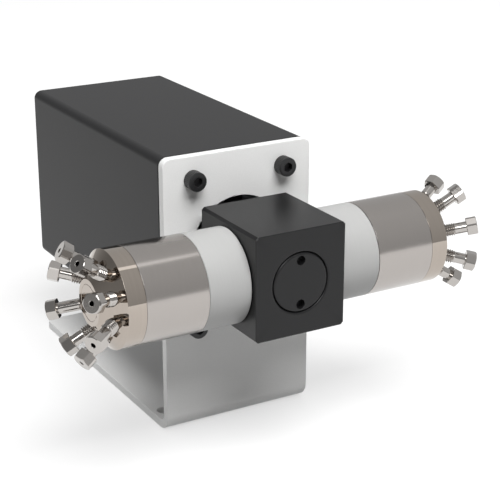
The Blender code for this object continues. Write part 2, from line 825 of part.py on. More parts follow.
def make_bearing_plug():
    """The threaded plug in the block's face; it holds the input shaft's front bearing."""
    face = block_depth / 2
    inner = face - plug_depth
    recess = inner + front_bearing_width + seat_gap
    seat = front_bearing_radius + seat_gap
    profile = [
        (0, face), (plug_radius - edge_chamfer, face), (plug_radius, face - edge_chamfer),
        (plug_radius, inner), (seat, inner), (seat, recess), (0, recess),
    ]
    plug = turned("bearing_plug", profile, along((0, -1, 0)), black_anodised, large)
    tools = []
    bottom = face - spanner_hole_depth
    offset = plug_radius - spanner_hole_inset
    for z in (-offset, offset):
        place = along((0, -1, 0), crossing + Vector((0, 0, z)))
        tools.append(hole("spanner_hole", spanner_hole_radius, bottom, face + overshoot, place, modest))
    return cut(plug, tools)


def bearing(name, inner, outer, start, width, place):
    """A ball bearing as one ring."""
    end = start + width
    profile = [(inner, start), (outer, start), (outer, end), (inner, end)]
    return turned(name, profile, place, steel)


def make_block_bearings():
    """The two bearings of the input shaft and one for each output shaft."""
    line = along((0, 1, 0))
    start = plug_depth - block_depth / 2 - front_bearing_width
    journal = journal_radius + seat_gap
    bearing("front_bearing", journal, front_bearing_radius, start, front_bearing_width, line)
    start = gear_back + running_gap
    bearing("rear_bearing", bore_side, rear_bearing_radius, start, rear_bearing_width, line)
    for side, word in sides():
        name = f"{word}_shaft_bearing"
        bearing(name, bore_side, side_bearing_radius, start, side_bearing_width, along((side, 0, 0)))


def sides():
    return ((-1, "left"), (1, "right"))


def tooth_outline(phase):
    """Four corners of each tooth of a mitre gear, as (angle, height above the pitch cone).

    The heights are measured along the back cone, which is square to the pitch cone.
    """
    module = 2 * gear_pitch_radius / gear_teeth
    slant = math.sqrt(0.5)
    tip_rise = module
    root_drop = 1.25 * module
    thickness = math.pi * module / 2 * (1 - gear_backlash)
    lean = math.tan(pressure_angle)
    tip_half = (thickness / 2 - tip_rise * lean) / (gear_pitch_radius + tip_rise * slant)
    root_half = (thickness / 2 + root_drop * lean) / (gear_pitch_radius - root_drop * slant)
    corners = (
        (-root_half, -root_drop), (-tip_half, tip_rise),
        (tip_half, tip_rise), (root_half, -root_drop),
    )
    outline = []
    for tooth in range(gear_teeth):
        middle = phase + 2 * math.pi * tooth / gear_teeth
        outline += [(middle + half, rise) for half, rise in corners]
    return outline


def tooth_ring(outline, scale):
    """The toothed outline on the back cone, shrunk towards the tip of the cone by a scale."""
    slant = math.sqrt(0.5)
    ring = []
    for angle, rise in outline:
        radius = scale * (gear_pitch_radius + rise * slant)
        height = scale * (gear_pitch_radius - rise * slant)
        ring.append((radius * math.cos(angle), radius * math.sin(angle), height))
    return ring


def make_gear(name, phase, place):
    """A mitre gear whose cone has its tip at the crossing of the shafts.

    The skin runs from the bore over the inner ends of the teeth, along the teeth, down the
    back cone, along the hub and back through the bore. Each plain ring has one point a tooth.
    """
    outline = tooth_outline(phase)
    angles = [phase + 2 * math.pi * tooth / gear_teeth for tooth in range(gear_teeth)]
    inner_scale = 1 - gear_face_width * math.sqrt(0.5) / gear_pitch_radius
    rings = [
        ring_points(bore_side, inner_scale * gear_pitch_radius, angles),
        tooth_ring(outline, inner_scale),
        tooth_ring(outline, 1.0),
        ring_points(gear_hub_radius, 2 * gear_pitch_radius - gear_hub_radius, angles),
        ring_points(gear_hub_radius, gear_back, angles),
        ring_points(bore_side, gear_back, angles),
    ]
    work = bmesh.new()
    loops = [[work.verts.new(point) for point in ring] for ring in rings]
    for lower, upper in zip(loops, loops[1:] + loops[:1]):
        span_faces(work, lower, upper)
    bmesh.ops.recalc_face_normals(work, faces=work.faces)
    mesh = bpy.data.meshes.new(name)
    work.to_mesh(mesh)
    work.free()
    smooth(mesh)
    return add(name, mesh, brass, place)


def span_faces(work, lower, upper):
    """Faces between two loops; where one has four points to the other's one, a fan spans a tooth."""
    if len(lower) > len(upper):
        lower, upper = upper, lower
    share = len(upper) // len(lower)
    for i, vertex in enumerate(lower):
        after = lower[(i + 1) % len(lower)]
        fan = upper[share * i:share * (i + 1)]
        step = upper[share * (i + 1) % len(upper)]
        work.faces.new((vertex, after, step, fan[-1]))
        for a, b in zip(fan, fan[1:]):
            work.faces.new((vertex, b, a))


def make_input_line():
    """What turns with the motor: its shaft, the coupling and the input gear."""
    line = along((0, 1, 0))
    make_gear("input_gear", 0.0, line)
    joint = front_face + bracket_thickness / 2 - valve_y
    journal_end = plug_depth - block_depth / 2 + seat_gap
    tip = journal_end - front_bearing_width
    shaft = [
        (0, joint - seat_gap), (shaft_radius, joint - seat_gap), (shaft_radius, journal_end),
        (journal_radius, journal_end), (journal_radius, tip), (0, tip),
    ]
    turned("input_shaft", shaft, line, steel)
    start = joint + seat_gap
    end = gearhead_front() + gearhead_bore_depth - seat_gap - valve_y
    output = [(0, end), (shaft_radius, end), (shaft_radius, start), (0, start)]
    turned("gearhead_shaft", output, line, steel)
    low = joint - coupling_length / 2
    high = joint + coupling_length / 2
    sleeve = [(bore_side, low), (coupling_radius, low), (coupling_radius, high), (bore_side, high)]
    turned("shaft_coupling", sleeve, line, aluminium)


def make_encoder_disc():
    """A thin disc with a window in its rim for each port."""
    outline = []
    window = math.pi / encoder_windows
    for i in range(encoder_windows):
        middle = 2 * math.pi * i / encoder_windows
        for part in (-0.5, 0.5):
            angle = middle + part * window
            radius = encoder_radius - encoder_window_depth
            outline.append((radius * math.cos(angle), radius * math.sin(angle)))
        for part in (0.5, 1.0, 1.5):
            angle = middle + part * window
            outline.append((encoder_radius * math.cos(angle), encoder_radius * math.sin(angle)))
    bore = circle(coupling_radius + seat_gap, medium)
    place = facing_front(0, encoder_y(), shaft_height)
    return flat("encoder_disc", [outline, bore], encoder_thickness, place, steel)


def spacer_screw_places(side, height):
    """Places round a valve's axis for the screws that hold its spacer."""
    places = []
    for x, y in bolt_circle(spacer_bolt_radius, 3, math.pi / 2):
        places.append(along((side, 0, 0)) @ Matrix.Translation((x, y, height)))
    return places


def make_spacer(side, word):
    """The white ring between the block and the barrel; three screws hold its flange to the block."""
    flange = spacer_start + spacer_flange_thickness
    inside = valve_radius - spacer_wall
    profile = [
        (valve_radius - edge_chamfer, spacer_end), (valve_radius, spacer_end - edge_chamfer),
        (valve_radius, spacer_start + edge_chamfer), (valve_radius - edge_chamfer, spacer_start),
        (spacer_bore, spacer_start), (spacer_bore, flange), (inside, flange), (inside, spacer_end),
    ]
    spacer = turned(f"{word}_spacer", profile, along((side, 0, 0)), white_plastic, large)
    length = spacer_flange_thickness + seat_gap + spacer_screw_grip
    tools = [fixed_screw(small_screw, length, place) for place in spacer_screw_places(side, flange)]
    return cut(spacer, tools, "UNION")


def make_barrel(side, word):
    """The steel barrel that holds the springs, the driver and the rotor against the stator."""
    wall = barrel_start + barrel_end_wall
    bore = driver_radius + running_gap
    profile = [
        (valve_radius - edge_chamfer, barrel_end), (valve_radius, barrel_end - edge_chamfer),
        (valve_radius, barrel_start + edge_chamfer), (valve_radius - edge_chamfer, barrel_start),
        (bore, barrel_start), (bore, wall), (barrel_bore, wall), (barrel_bore, barrel_end),
    ]
    return turned(f"{word}_barrel", profile, along((side, 0, 0)), steel, large)


def make_stator(side, word):
    """The end of the valve: a rim, a cone with the ports, and a flat end with a ring groove.

    Each port is a threaded bore with a conical seat, and a fine passage from there to the
    face that the rotor turns against.
    """
    groove_inner = end_groove_radius - end_groove_width
    groove_floor = cone_end - end_groove_depth
    profile = [
        (0, cone_end), (groove_inner, cone_end), (groove_inner, groove_floor),
        (end_groove_radius, groove_floor), (end_groove_radius, cone_end),
        (cone_end_radius, cone_end), (valve_radius, rim_end),
        (valve_radius, stator_start + edge_chamfer), (valve_radius - edge_chamfer, stator_start),
        (0, stator_start),
    ]
    stator = turned(f"{word}_stator", profile, along((side, 0, 0)), warm_steel, large)
    thread = nut_thread_radius + seat_gap
    seat = -nut_thread_depth - seat_gap
    bottom = seat - ferrule_length
    tip = ferrule_tip_radius + seat_gap
    through = -2 * stator_rim_length
    bore = [
        (0, through), (passage_radius, through), (passage_radius, bottom), (tip, bottom),
        (thread, seat), (thread, nut_reach / 2), (0, nut_reach / 2),
    ]
    tools = [turned("port", bore, place, None, small, cutters) for place in port_places(side)]
    return cut(stator, tools)


def port_places(side):
    """Places on the cone, each with its own Z axis square to the cone and pointing outwards."""
    along_cone = (valve_radius - port_circle_radius) / (valve_radius - cone_end_radius)
    height = rim_end + along_cone * cone_height
    places = []
    for i in range(port_count):
        azimuth = Matrix.Rotation(2 * math.pi * (i + 0.5) / port_count, 4, "Z")
        mouth = Matrix.Translation((port_circle_radius, 0, height))
        places.append(along((side, 0, 0)) @ azimuth @ mouth @ Matrix.Rotation(port_tilt, 4, "Y"))
    return places


def tube_nut(name, reach, neck_length):
    """A hexagon nut with a thread and a ferrule at its tip; its origin is the port's mouth."""
    angles = [2 * math.pi * i / modest for i in range(modest)]
    face = nut_hex / 2 * nut_face_share
    slope = math.tan(nut_chamfer)
    under_head = reach - nut_head_length
    neck_end = under_head - neck_length
    crest = nut_thread_radius - nut_neck_radius

    def corner(angle):
        return hexagon_radius(nut_hex, angle)

    def chamfer(angle):
        return reach - (corner(angle) - face) * slope

    rings = [
        ring_points(nut_bore, reach, angles),
        ring_points(face, reach, angles),
        ring_points(corner, chamfer, angles),
        ring_points(corner, under_head, angles),
        ring_points(nut_neck_radius, under_head, angles),
        ring_points(nut_neck_radius, neck_end, angles),
        ring_points(nut_thread_radius, neck_end - crest, angles),
        ring_points(nut_thread_radius, -nut_thread_depth, angles),
        ring_points(ferrule_tip_radius, -nut_thread_depth - ferrule_length, angles),
        ring_points(nut_bore, -nut_thread_depth - ferrule_length, angles),
    ]
    return skin(name, rings, steel, True)


def make_tube_nuts(side, word):
    """One nut in each port; one nut of the left valve has a longer neck and stands further out."""
    usual = tube_nut("tube_nut", nut_reach, nut_neck_length)
    reach = nut_reach + long_nut_extra
    longer = tube_nut("long_tube_nut", reach, nut_neck_length + long_nut_neck_extra)
    for number, place in enumerate(port_places(side), 1):
        mesh = longer if (word, number) == long_nut else usual
        add(f"{word}_tube_nut_{number}", mesh, None, place)


def make_output_line(side, word):
    """What turns in one valve: the output gear with its shaft, the driver and the rotor."""
    place = along((side, 0, 0))
    make_gear(f"{word}_output_gear", math.pi / gear_teeth, place)
    inner = gear_pitch_radius - gear_face_width * math.sqrt(0.5)
    start = spacer_end - driver_reach
    socket_end = start + driver_socket_depth
    shaft_end = socket_end - seat_gap
    shaft = [(0, inner), (shaft_radius, inner), (shaft_radius, shaft_end), (0, shaft_end)]
    turned(f"{word}_output_shaft", shaft, place, steel)
    rotor_end = stator_start - seat_gap
    rotor_start = rotor_end - rotor_thickness
    driver_end = rotor_start - seat_gap
    flange = driver_flange_start()
    profile = [
        (0, driver_end), (driver_flange_radius, driver_end), (driver_flange_radius, flange),
        (driver_radius, flange), (driver_radius, start),
        (bore_side, start), (bore_side, socket_end), (0, socket_end),
    ]
    driver = turned(f"{word}_driver", profile, place, steel)
    tang_length = 2 * (rotor_radius - driver_tang_inset)
    tang_size = (driver_tang_width, tang_length, 2 * driver_tang_height)
    tang = block("tang", tang_size, place @ Matrix.Translation((0, 0, driver_end)), None, cutters)
    cut(driver, [tang], "UNION")
    disc = [(0, rotor_end), (rotor_radius, rotor_end), (rotor_radius, rotor_start), (0, rotor_start)]
    rotor = turned(f"{word}_rotor", disc, place, polymer)
    slot_depth = driver_tang_height + seat_gap
    slot_size = (driver_tang_width + 2 * seat_gap, 4 * rotor_radius, 2 * slot_depth)
    slot_place = place @ Matrix.Translation((0, 0, rotor_start))
    slot = block("tang_slot", slot_size, slot_place, None, cutters)
    groove_size = (rotor_groove_width, rotor_radius / 2, 2 * rotor_groove_depth)
    groove_place = place @ Matrix.Translation((0, rotor_radius / 4, rotor_end))
    groove = block("flow_groove", groove_size, groove_place, None, cutters)
    cut(rotor, [slot, groove])


def thrust_bearing_start():
    """The springs rest on the barrel's end wall, and the bearing rests on the springs."""
    springs = 2 * (spring_thickness + spring_cone)
    return barrel_start + barrel_end_wall + seat_gap + springs + seat_gap


def driver_flange_start():
    """The driver's flange turns just above the bearing."""
    return thrust_bearing_start() + thrust_bearing_width + running_gap


def make_valve_springs(side, word):
    """The thrust bearing, and a pair of cone-shaped springs as one ring with a V-shaped section."""
    place = along((side, 0, 0))
    inner = driver_radius + running_gap
    outer = driver_flange_radius
    start = thrust_bearing_start()
    bearing(f"{word}_thrust_bearing", inner, outer, start, thrust_bearing_width, place)
    end = start - seat_gap
    middle = end - spring_thickness - spring_cone
    low = 2 * middle - end
    half = spring_thickness / 2
    profile = [
        (inner, end), (inner, end - spring_thickness), (outer - spring_thickness, middle),
        (inner, low + spring_thickness), (inner, low),
        (outer, middle - half), (outer, middle + half),
    ]
    turned(f"{word}_disc_springs", profile, place, dark_steel, modest)


make_bracket()
make_bracket_screws()
make_cover()
make_front_plate()
make_position_sensor()
make_hub()
make_gearhead()
make_motor()
make_rear_panel()
make_control_board()
make_serial_connector()
make_power_jack()
make_gear_block()
make_bearing_plug()
make_block_bearings()
make_input_line()
make_encoder_disc()
for valve_side, valve_word in sides():
    make_spacer(valve_side, valve_word)
    make_barrel(valve_side, valve_word)
    make_stator(valve_side, valve_word)
    make_tube_nuts(valve_side, valve_word)
    make_output_line(valve_side, valve_word)
    make_valve_springs(valve_side, valve_word)
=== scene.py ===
# %% [markdown]
# # A column selector valve
# Two rotary valves stand to the left and right of a black gear block, and one geared motor in
# the box behind the bracket turns them both. This lesson dresses the plain CAD model: each
# outer piece gets a finer shape, and every piece gets the finish of its real material.

# %% Load the fixed frame
import math

import bmesh
import bpy
import numpy as np
from mathutils import Matrix, Vector


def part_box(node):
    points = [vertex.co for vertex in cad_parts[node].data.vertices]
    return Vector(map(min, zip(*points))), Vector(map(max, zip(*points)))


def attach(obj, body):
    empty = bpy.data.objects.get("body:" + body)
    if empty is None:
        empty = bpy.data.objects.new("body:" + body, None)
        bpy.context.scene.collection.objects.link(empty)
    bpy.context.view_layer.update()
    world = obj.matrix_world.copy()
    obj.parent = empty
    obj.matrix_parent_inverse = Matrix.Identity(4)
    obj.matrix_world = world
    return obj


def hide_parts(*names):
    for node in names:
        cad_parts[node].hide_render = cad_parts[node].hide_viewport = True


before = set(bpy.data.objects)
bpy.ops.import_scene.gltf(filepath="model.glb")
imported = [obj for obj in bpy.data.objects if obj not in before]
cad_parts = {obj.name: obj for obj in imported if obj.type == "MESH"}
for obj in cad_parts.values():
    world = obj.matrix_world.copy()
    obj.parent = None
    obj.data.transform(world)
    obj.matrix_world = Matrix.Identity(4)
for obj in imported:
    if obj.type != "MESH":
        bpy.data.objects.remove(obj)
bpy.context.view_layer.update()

MM = 0.001

# %% [markdown]
# ## The camera
# The photograph looks down on the front left corner from about half a metre. A camera is a
# place, three axes and a lens, so its axes are worked out from two angles: how far round the
# object it stands, and how high.

# %% Camera
def direction_at(azimuth, elevation):
    """Where something stands as seen from the object, for two angles in degrees.

    It is (sin a cos e, -cos a cos e, sin e): a turns round from the front, and e rises.
    """
    a, e = math.radians(azimuth), math.radians(elevation)
    return Vector((math.sin(a) * math.cos(e), -math.cos(a) * math.cos(e), math.sin(e)))


def add_object(name, data):
    """A new object of a mesh, a curve, a lamp or a camera, linked to the scene."""
    made = bpy.data.objects.new(name, data)
    bpy.context.scene.collection.objects.link(made)
    return made


camera_azimuth, camera_elevation = -30.02, 19.89
back = direction_at(camera_azimuth, camera_elevation)
round_by = math.radians(camera_azimuth)
right = Vector((math.cos(round_by), math.sin(round_by), 0))
axes = Matrix((right, back.cross(right), back)).transposed()
lens = bpy.data.cameras.new("photograph_lens")
lens.lens = 101.6
lens.sensor_width = 36
lens.shift_x = 0.0001
lens.shift_y = -0.0033
lens.clip_start = 0.01
stands_at = (-0.23556, -0.47255, 0.23973)
camera = add_object("photograph_camera", lens)
camera.matrix_world = Matrix.Translation(stands_at) @ axes.to_4x4()
bpy.context.scene.camera = camera
bpy.context.scene.view_settings.view_transform = "Standard"
print("camera stands", round(camera.matrix_world.translation.length, 3), "m from the origin")

# %% [markdown]
# ## Materials: one way to add a node
# Every finish below is a small net of nodes. One helper adds a node, sets its options and
# fills its sockets, so a finish reads as a list of what it mixes. Colours are written as
# sRGB hex values, as a paint chart has them, and one formula turns them to linear light.

# %% Helpers for materials
def linear(code):
    """Linear light of an sRGB hex colour: c / 12.92 for dark values, else ((c + 0.055) / 1.055) ** 2.4."""
    channel = np.array([int(code[i:i + 2], 16) for i in (1, 3, 5)]) / 255
    light = np.where(channel <= 0.04045, channel / 12.92, ((channel + 0.055) / 1.055) ** 2.4)
    return (*light.tolist(), 1.0)


def add_node(material, kind, options=None, **inputs):
    """Add a node. An input is a value or another node's output; _6 means the socket of that number."""
    made = material.node_tree.nodes.new(kind)
    for name, value in (options or {}).items():
        setattr(made, name, value)
    for name, value in inputs.items():
        key = int(name[1:]) if name[1:].isdigit() else name.replace("_", " ")
        if isinstance(value, bpy.types.NodeSocket):
            material.node_tree.links.new(value, made.inputs[key])
        else:
            made.inputs[key].default_value = value
    return made


def shader_of(material):
    """The Principled shader of a material."""
    return material.node_tree.nodes["Principled BSDF"]


print("sRGB #808080 is", round(linear("#808080")[0], 3), "in linear light")

# %% [markdown]
# ## A grained surface
# Paint, moulded plastic, ground steel and anodised aluminium differ in colour and gloss, but
# each has a fine grain left by how it was made. One noise, sized in real millimetres, drives
# all three of its effects: a slight change of colour, of roughness and of relief. Stretching
# the noise along one axis turns grain into the lines that a lathe or a grinder leaves.

# %% Grained surfaces
def grained(name, dark, light, roughness, grain, relief, stretch=(1, 1, 1), **constants):
    """A Principled surface with one noise of a grain size in mm.

    Colour = dark + (light - dark) * noise, roughness runs between its two values with the
    noise, and height = relief in mm * noise. What is the same all over is set on the shader.
    """
    material = bpy.data.materials.new(name)
    material.use_nodes = True
    shader = shader_of(material)
    for socket, value in constants.items():
        shader.inputs[socket.replace("_", " ")].default_value = value
    links = material.node_tree.links
    place = add_node(material, "ShaderNodeTexCoord").outputs["Object"]
    drawn = add_node(material, "ShaderNodeMapping", Vector=place, Scale=stretch).outputs["Vector"]
    noise = add_node(material, "ShaderNodeTexNoise", Vector=drawn, Scale=1 / (grain * MM),
                     Detail=3.0, Roughness=0.55).outputs["Fac"]
    colour = add_node(material, "ShaderNodeMix", {"data_type": "RGBA", "name": "colour"},
                      _0=noise, _6=linear(dark), _7=linear(light)).outputs[2]
    gloss = add_node(material, "ShaderNodeMapRange", {"name": "gloss"}, Value=noise,
                     To_Min=roughness[0], To_Max=roughness[1]).outputs["Result"]
    bump = add_node(material, "ShaderNodeBump", {"name": "relief"}, Height=noise,
                    Distance=relief * MM).outputs["Normal"]
    links.new(colour, shader.inputs["Base Color"])
    links.new(gloss, shader.inputs["Roughness"])
    links.new(bump, shader.inputs["Normal"])
    return material


# Powder coat on steel: sprayed dry and baked, which leaves a faint orange peel about 0.6 mm wide
white_powder_coat = grained("white_powder_coat", "#e3e3e2", "#eaeae9", (0.28, 0.35), 0.6, 0.004)
# Stove-enamelled sheet: sprayed with a fine texture, 0.35 mm, which breaks up its gloss
black_textured_enamel = grained("black_textured_enamel", "#202021", "#262627", (0.42, 0.5), 0.35, 0.006,
                                Specular_IOR_Level=0.25)
# Anodised aluminium: bead-blasted, then dyed black, so it is even, dark and softly glossy
black_anodised_aluminium = grained("black_anodised_aluminium", "#131314", "#171718", (0.33, 0.39), 0.25,
                                   0.002, Specular_IOR_Level=0.34)
# Acetal turned from rod: very fine rings along the valve's axis, drawn at 0.2 mm to show at all
white_acetal = grained("white_acetal", "#a8a8a7", "#aeaead", (0.4, 0.46), 0.2, 0.001, (1, 0.02, 0.02),
                       Subsurface_Weight=0.08, Subsurface_Radius=(0.001, 0.001, 0.001))
# Stainless steel, ground round: lines 0.15 mm apart round the barrel blur what it mirrors along its length
ground_stainless_steel = grained("ground_stainless_steel", "#aaa5a1", "#b3aeaa", (0.16, 0.22), 0.15, 0.0004,
                                 (1, 0.02, 0.02), Metallic=1.0)
# Stainless steel, polished: the stator is lapped until it mirrors its fittings, and is a little warmer
polished_warm_steel = grained("polished_warm_steel", "#aaa198", "#b1a89f", (0.03, 0.05), 0.5, 0.0002,
                              (1, 0.02, 0.02), Metallic=1.0)
# Stainless steel, bar-turned: tube nuts come off an automatic lathe bright, with faint turning lines
bright_turned_steel = grained("bright_turned_steel", "#b3afab", "#bdb9b5", (0.06, 0.1), 0.3, 0.0005,
                              Metallic=1.0)
# Steel screws, blackened: the oxide is a thin dark film with a dull sheen and lighter worn grains
black_oxide_steel = grained("black_oxide_steel", "#1f1f20", "#29292a", (0.3, 0.4), 0.2, 0.001, Metallic=0.3)
# Aluminium, milled: plates and the gearbox keep a soft grain in the direction of the cutter
milled_aluminium = grained("milled_aluminium", "#b4b6b8", "#c2c4c6", (0.28, 0.38), 0.3, 0.001, (1, 1, 0.05),
                           Metallic=1.0)
# Brass, hobbed: the gears' teeth are cut, which leaves fine lines across a warm yellow metal
hobbed_brass = grained("hobbed_brass", "#b48f4e", "#c49f5c", (0.2, 0.3), 0.2, 0.001, Metallic=1.0)
# Bearing and shaft steel, ground and hardened: grey, bright, with a trace of the grinding wheel
ground_shaft_steel = grained("ground_shaft_steel", "#a9a9aa", "#b9b9ba", (0.15, 0.25), 0.15, 0.0004,
                             Metallic=1.0)
# Spring steel, tempered: heat leaves a dark straw to blue-grey skin
tempered_spring_steel = grained("tempered_spring_steel", "#3a3c42", "#55524c", (0.3, 0.4), 1.2, 0.0005,
                                Metallic=0.9)
# Glass-filled plastic, moulded: the mould's fine spark texture makes the black look dusty
moulded_black_plastic = grained("moulded_black_plastic", "#19191a", "#222223", (0.45, 0.6), 0.25, 0.003)
# Valve polymer, machined: a hard tan plastic, lapped where it seals, faintly cloudy inside
lapped_valve_polymer = grained("lapped_valve_polymer", "#a98d63", "#b89a6f", (0.3, 0.4), 0.8, 0.0005,
                               Subsurface_Weight=0.05, Subsurface_Radius=(0.001, 0.0008, 0.0005))
# Nickel-plated steel: the connector's shell, drawn from sheet, with a satin plated skin
nickel_plated_shell = grained("nickel_plated_shell", "#b9b6ae", "#c6c3bb", (0.2, 0.3), 0.4, 0.0008,
                              Metallic=1.0)
print(len(bpy.data.materials), "finishes so far")

# %% [markdown]
# ## Special finishes
# Two inner pieces show a pattern that plain grain can't give. A motor's core is a stack of
# sheets half a millimetre thick, so a saw-tooth wave along its shaft draws the edges of the
# sheets. A circuit board has copper tracks under green lacquer, so a brick pattern lightens
# narrow lines. Each pattern is added to a grained surface, between its grain and its shader.

# %% Motor core and circuit board
def mixed_in(material, pattern, code):
    """Mix another colour over a grained surface's own colour wherever a pattern is 1."""
    own = material.node_tree.nodes["colour"].outputs[2]
    both = add_node(material, "ShaderNodeMix", {"data_type": "RGBA"}, _0=pattern, _6=own, _7=linear(code))
    material.node_tree.links.new(both.outputs[2], shader_of(material).inputs["Base Color"])


# Enamelled motor: black end caps, and between them bare edges of the core's thin sheets
laminated_motor_enamel = grained("laminated_motor_enamel", "#1c1c1e", "#262628", (0.35, 0.5), 0.5, 0.002,
                                 Metallic=0.3)
place = add_node(laminated_motor_enamel, "ShaderNodeTexCoord").outputs["Object"]
sheet_thickness = 0.5 * MM
sheets = add_node(laminated_motor_enamel, "ShaderNodeTexWave",
                  {"wave_type": "BANDS", "bands_direction": "Y", "wave_profile": "SAW"},
                  Vector=place, Scale=math.pi / (10 * sheet_thickness)).outputs["Fac"]
mixed_in(laminated_motor_enamel, sheets, "#3b3b3e")

# Glass-fibre board: lacquer over copper, so its tracks show as a slightly lighter green
lacquered_circuit_board = grained("lacquered_circuit_board", "#174a2c", "#1b5533", (0.3, 0.38), 0.8, 0.001,
                                  Coat_Weight=0.4, Coat_Roughness=0.2)
place = add_node(lacquered_circuit_board, "ShaderNodeTexCoord").outputs["Object"]
turned_up = add_node(lacquered_circuit_board, "ShaderNodeMapping", Vector=place,
                     Rotation=(math.pi / 2, 0, 0)).outputs["Vector"]
track_spacing = 2.5 * MM
tracks = add_node(lacquered_circuit_board, "ShaderNodeTexBrick", Vector=turned_up, Scale=1 / track_spacing,
                  Mortar_Size=0.08, Brick_Width=3.0, Row_Height=1.0).outputs["Fac"]
mixed_in(lacquered_circuit_board, tracks, "#2f7d4b")
print("motor sheets", sheet_thickness / MM, "mm, board tracks", track_spacing / MM, "mm")

# %% [markdown]
# ## Surfaces from arrays
# Each new piece is a grid of points worked out as a whole with numpy: rows run along a
# profile and columns run round it. The grid becomes a mesh in one step. Then points that lie
# on each other, as at a pole, are merged, and all faces are turned outwards.

# %% From a grid of points to a mesh
def tidy(mesh, sharp=30):
    """Merge doubles, turn faces outwards, and shade smooth except across edges sharper than an angle."""
    work = bmesh.new()
    work.from_mesh(mesh)
    bmesh.ops.remove_doubles(work, verts=work.verts, dist=0.0005 * MM)
    bmesh.ops.recalc_face_normals(work, faces=work.faces)
    work.to_mesh(mesh)
    work.free()
    mesh.shade_smooth()
    mesh.set_sharp_from_angle(angle=math.radians(sharp))
    return mesh


def grid_mesh(points, ring_rows=False):
    """Faces between neighbours of a grid: row i, column j meets i + 1 and j + 1.

    The last column always meets the first. The last row meets the first if the rows form a ring.
    """
    rows, columns = points.shape[:2]
    number = np.arange(rows * columns).reshape(rows, columns)
    here = number if ring_rows else number[:-1]
    above = np.roll(number, -1, axis=0) if ring_rows else number[1:]
    faces = np.stack([here, np.roll(here, -1, axis=1), np.roll(above, -1, axis=1), above], axis=-1)
    mesh = bpy.data.meshes.new("grid")
    mesh.from_pydata(points.reshape(-1, 3).tolist(), [], faces.reshape(-1, 4).tolist())
    return tidy(mesh)


# %% [markdown]
# ## Rounded corners
# No edge of a real piece is quite sharp. A press, a lathe or a file leaves a small radius,
# which catches a thin line of light. So an outline or a profile is given by its corners, and
# one function turns each corner into an arc of its own radius.

# %% Corners into arcs
def rounded(corners, radii, closed=False, steps=5):
    """A line through corners, each turned into an arc of its own radius.

    An arc starts and ends at radius / tan(half the corner's angle) from the corner. Its points
    are centre + (sin((1 - t) w) u + sin(t w) v) / sin w, for u and v from the centre to its
    two ends and w the angle between them.
    """
    corners = np.array(corners, float)
    radii = np.array(radii, float) * np.ones(len(corners))
    if not closed:
        radii[[0, -1]] = 0
    back_along = np.roll(corners, 1, axis=0) - corners
    on_along = np.roll(corners, -1, axis=0) - corners
    back_along /= np.linalg.norm(back_along, axis=1, keepdims=True) + 1e-12
    on_along /= np.linalg.norm(on_along, axis=1, keepdims=True) + 1e-12
    half = np.arccos(np.clip((back_along * on_along).sum(1), -1, 1)) / 2
    half = np.clip(half, 0.02, math.pi / 2 - 0.001)[:, None]
    middle = back_along + on_along
    middle /= np.linalg.norm(middle, axis=1, keepdims=True) + 1e-12
    radii = radii[:, None]
    centre = corners + middle * radii / np.sin(half)
    u = corners + back_along * radii / np.tan(half) - centre
    v = corners + on_along * radii / np.tan(half) - centre
    w = (math.pi - 2 * half)[:, None]
    t = np.linspace(0, 1, steps + 1)[None, :, None]
    arcs = centre[:, None] + (np.sin((1 - t) * w) * u[:, None] + np.sin(t * w) * v[:, None]) / np.sin(w)
    line = arcs.reshape(-1, corners.shape[1])
    kept = np.linalg.norm(line - np.roll(line, 1, axis=0), axis=1) > 1e-7
    kept[0] = kept[0] or not closed
    return line[kept]


print("a square with 1 mm corners has", len(rounded([(0, 0), (5, 0), (5, 5), (0, 5)], 1, True)), "points")

# %% [markdown]
# ## Showing a piece
# Every mesh is shown in the same steps. It gets its finish, it rides the body that it is fixed
# to, and it takes the place of the plain CAD pieces that it stands for. A Weighted Normal
# modifier keeps large faces evenly shaded right up to their rounded edges.

# %% One way to show a mesh
def add_piece(name, mesh, finish, body, slot, *nodes):
    """Show a mesh as one piece that rides a body and stands for CAD nodes."""
    mesh.name = name
    mesh.materials.clear()
    mesh.materials.append(finish)
    shown = add_object(name, mesh)
    even = shown.modifiers.new("even_shading", "WEIGHTED_NORMAL")
    even.keep_sharp = True
    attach(shown, body)
    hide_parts(*nodes)
    print(name, "has", len(mesh.polygons), "faces")
    return shown


# %% [markdown]
# ## The bent bracket
# The bracket is one steel sheet, cut flat with its holes, then bent once through a right
# angle. It is made here in the same order. A filled 2D curve gives the flat sheet with a fine
# rounded edge, lines are cut across it where it will bend, and a formula wraps that strip
# round the bend. Its holes then stay true, and the rounded edge follows the bend.

# %% Flat sheet with holes
def flat_sheet(outlines, thickness, edge):
    """A sheet from outlines: the first is filled and the others are holes. Its edges are rounded."""
    curve = bpy.data.curves.new("sheet", "CURVE")
    curve.dimensions = "2D"
    curve.fill_mode = "BOTH"
    curve.extrude = thickness / 2 - edge
    curve.bevel_depth = edge
    curve.bevel_resolution = 3
    curve.offset = -edge
    for outline in outlines:
        spline = curve.splines.new("POLY")
        spline.points.add(len(outline) - 1)
        spline.points.foreach_set("co", np.insert(outline, [2, 2], [0, 1], axis=1).ravel())
        spline.use_cyclic_u = True
    drawn = add_object("sheet", curve)
    mesh = bpy.data.meshes.new_from_object(drawn.evaluated_get(bpy.context.evaluated_depsgraph_get()))
    bpy.data.objects.remove(drawn)
    return tidy(mesh)


def full_turn(count):
    """Evenly spaced angles of a full turn. The last isn't 360 degrees, which is the first again."""
    return np.linspace(0, 2 * math.pi, count, endpoint=False)


def circle(radius, x=0.0, y=0.0, count=48):
    """Points of a circle: (x + r cos a, y + r sin a)."""
    a = full_turn(count)
    return np.stack([x + radius * np.cos(a), y + radius * np.sin(a)], axis=-1)


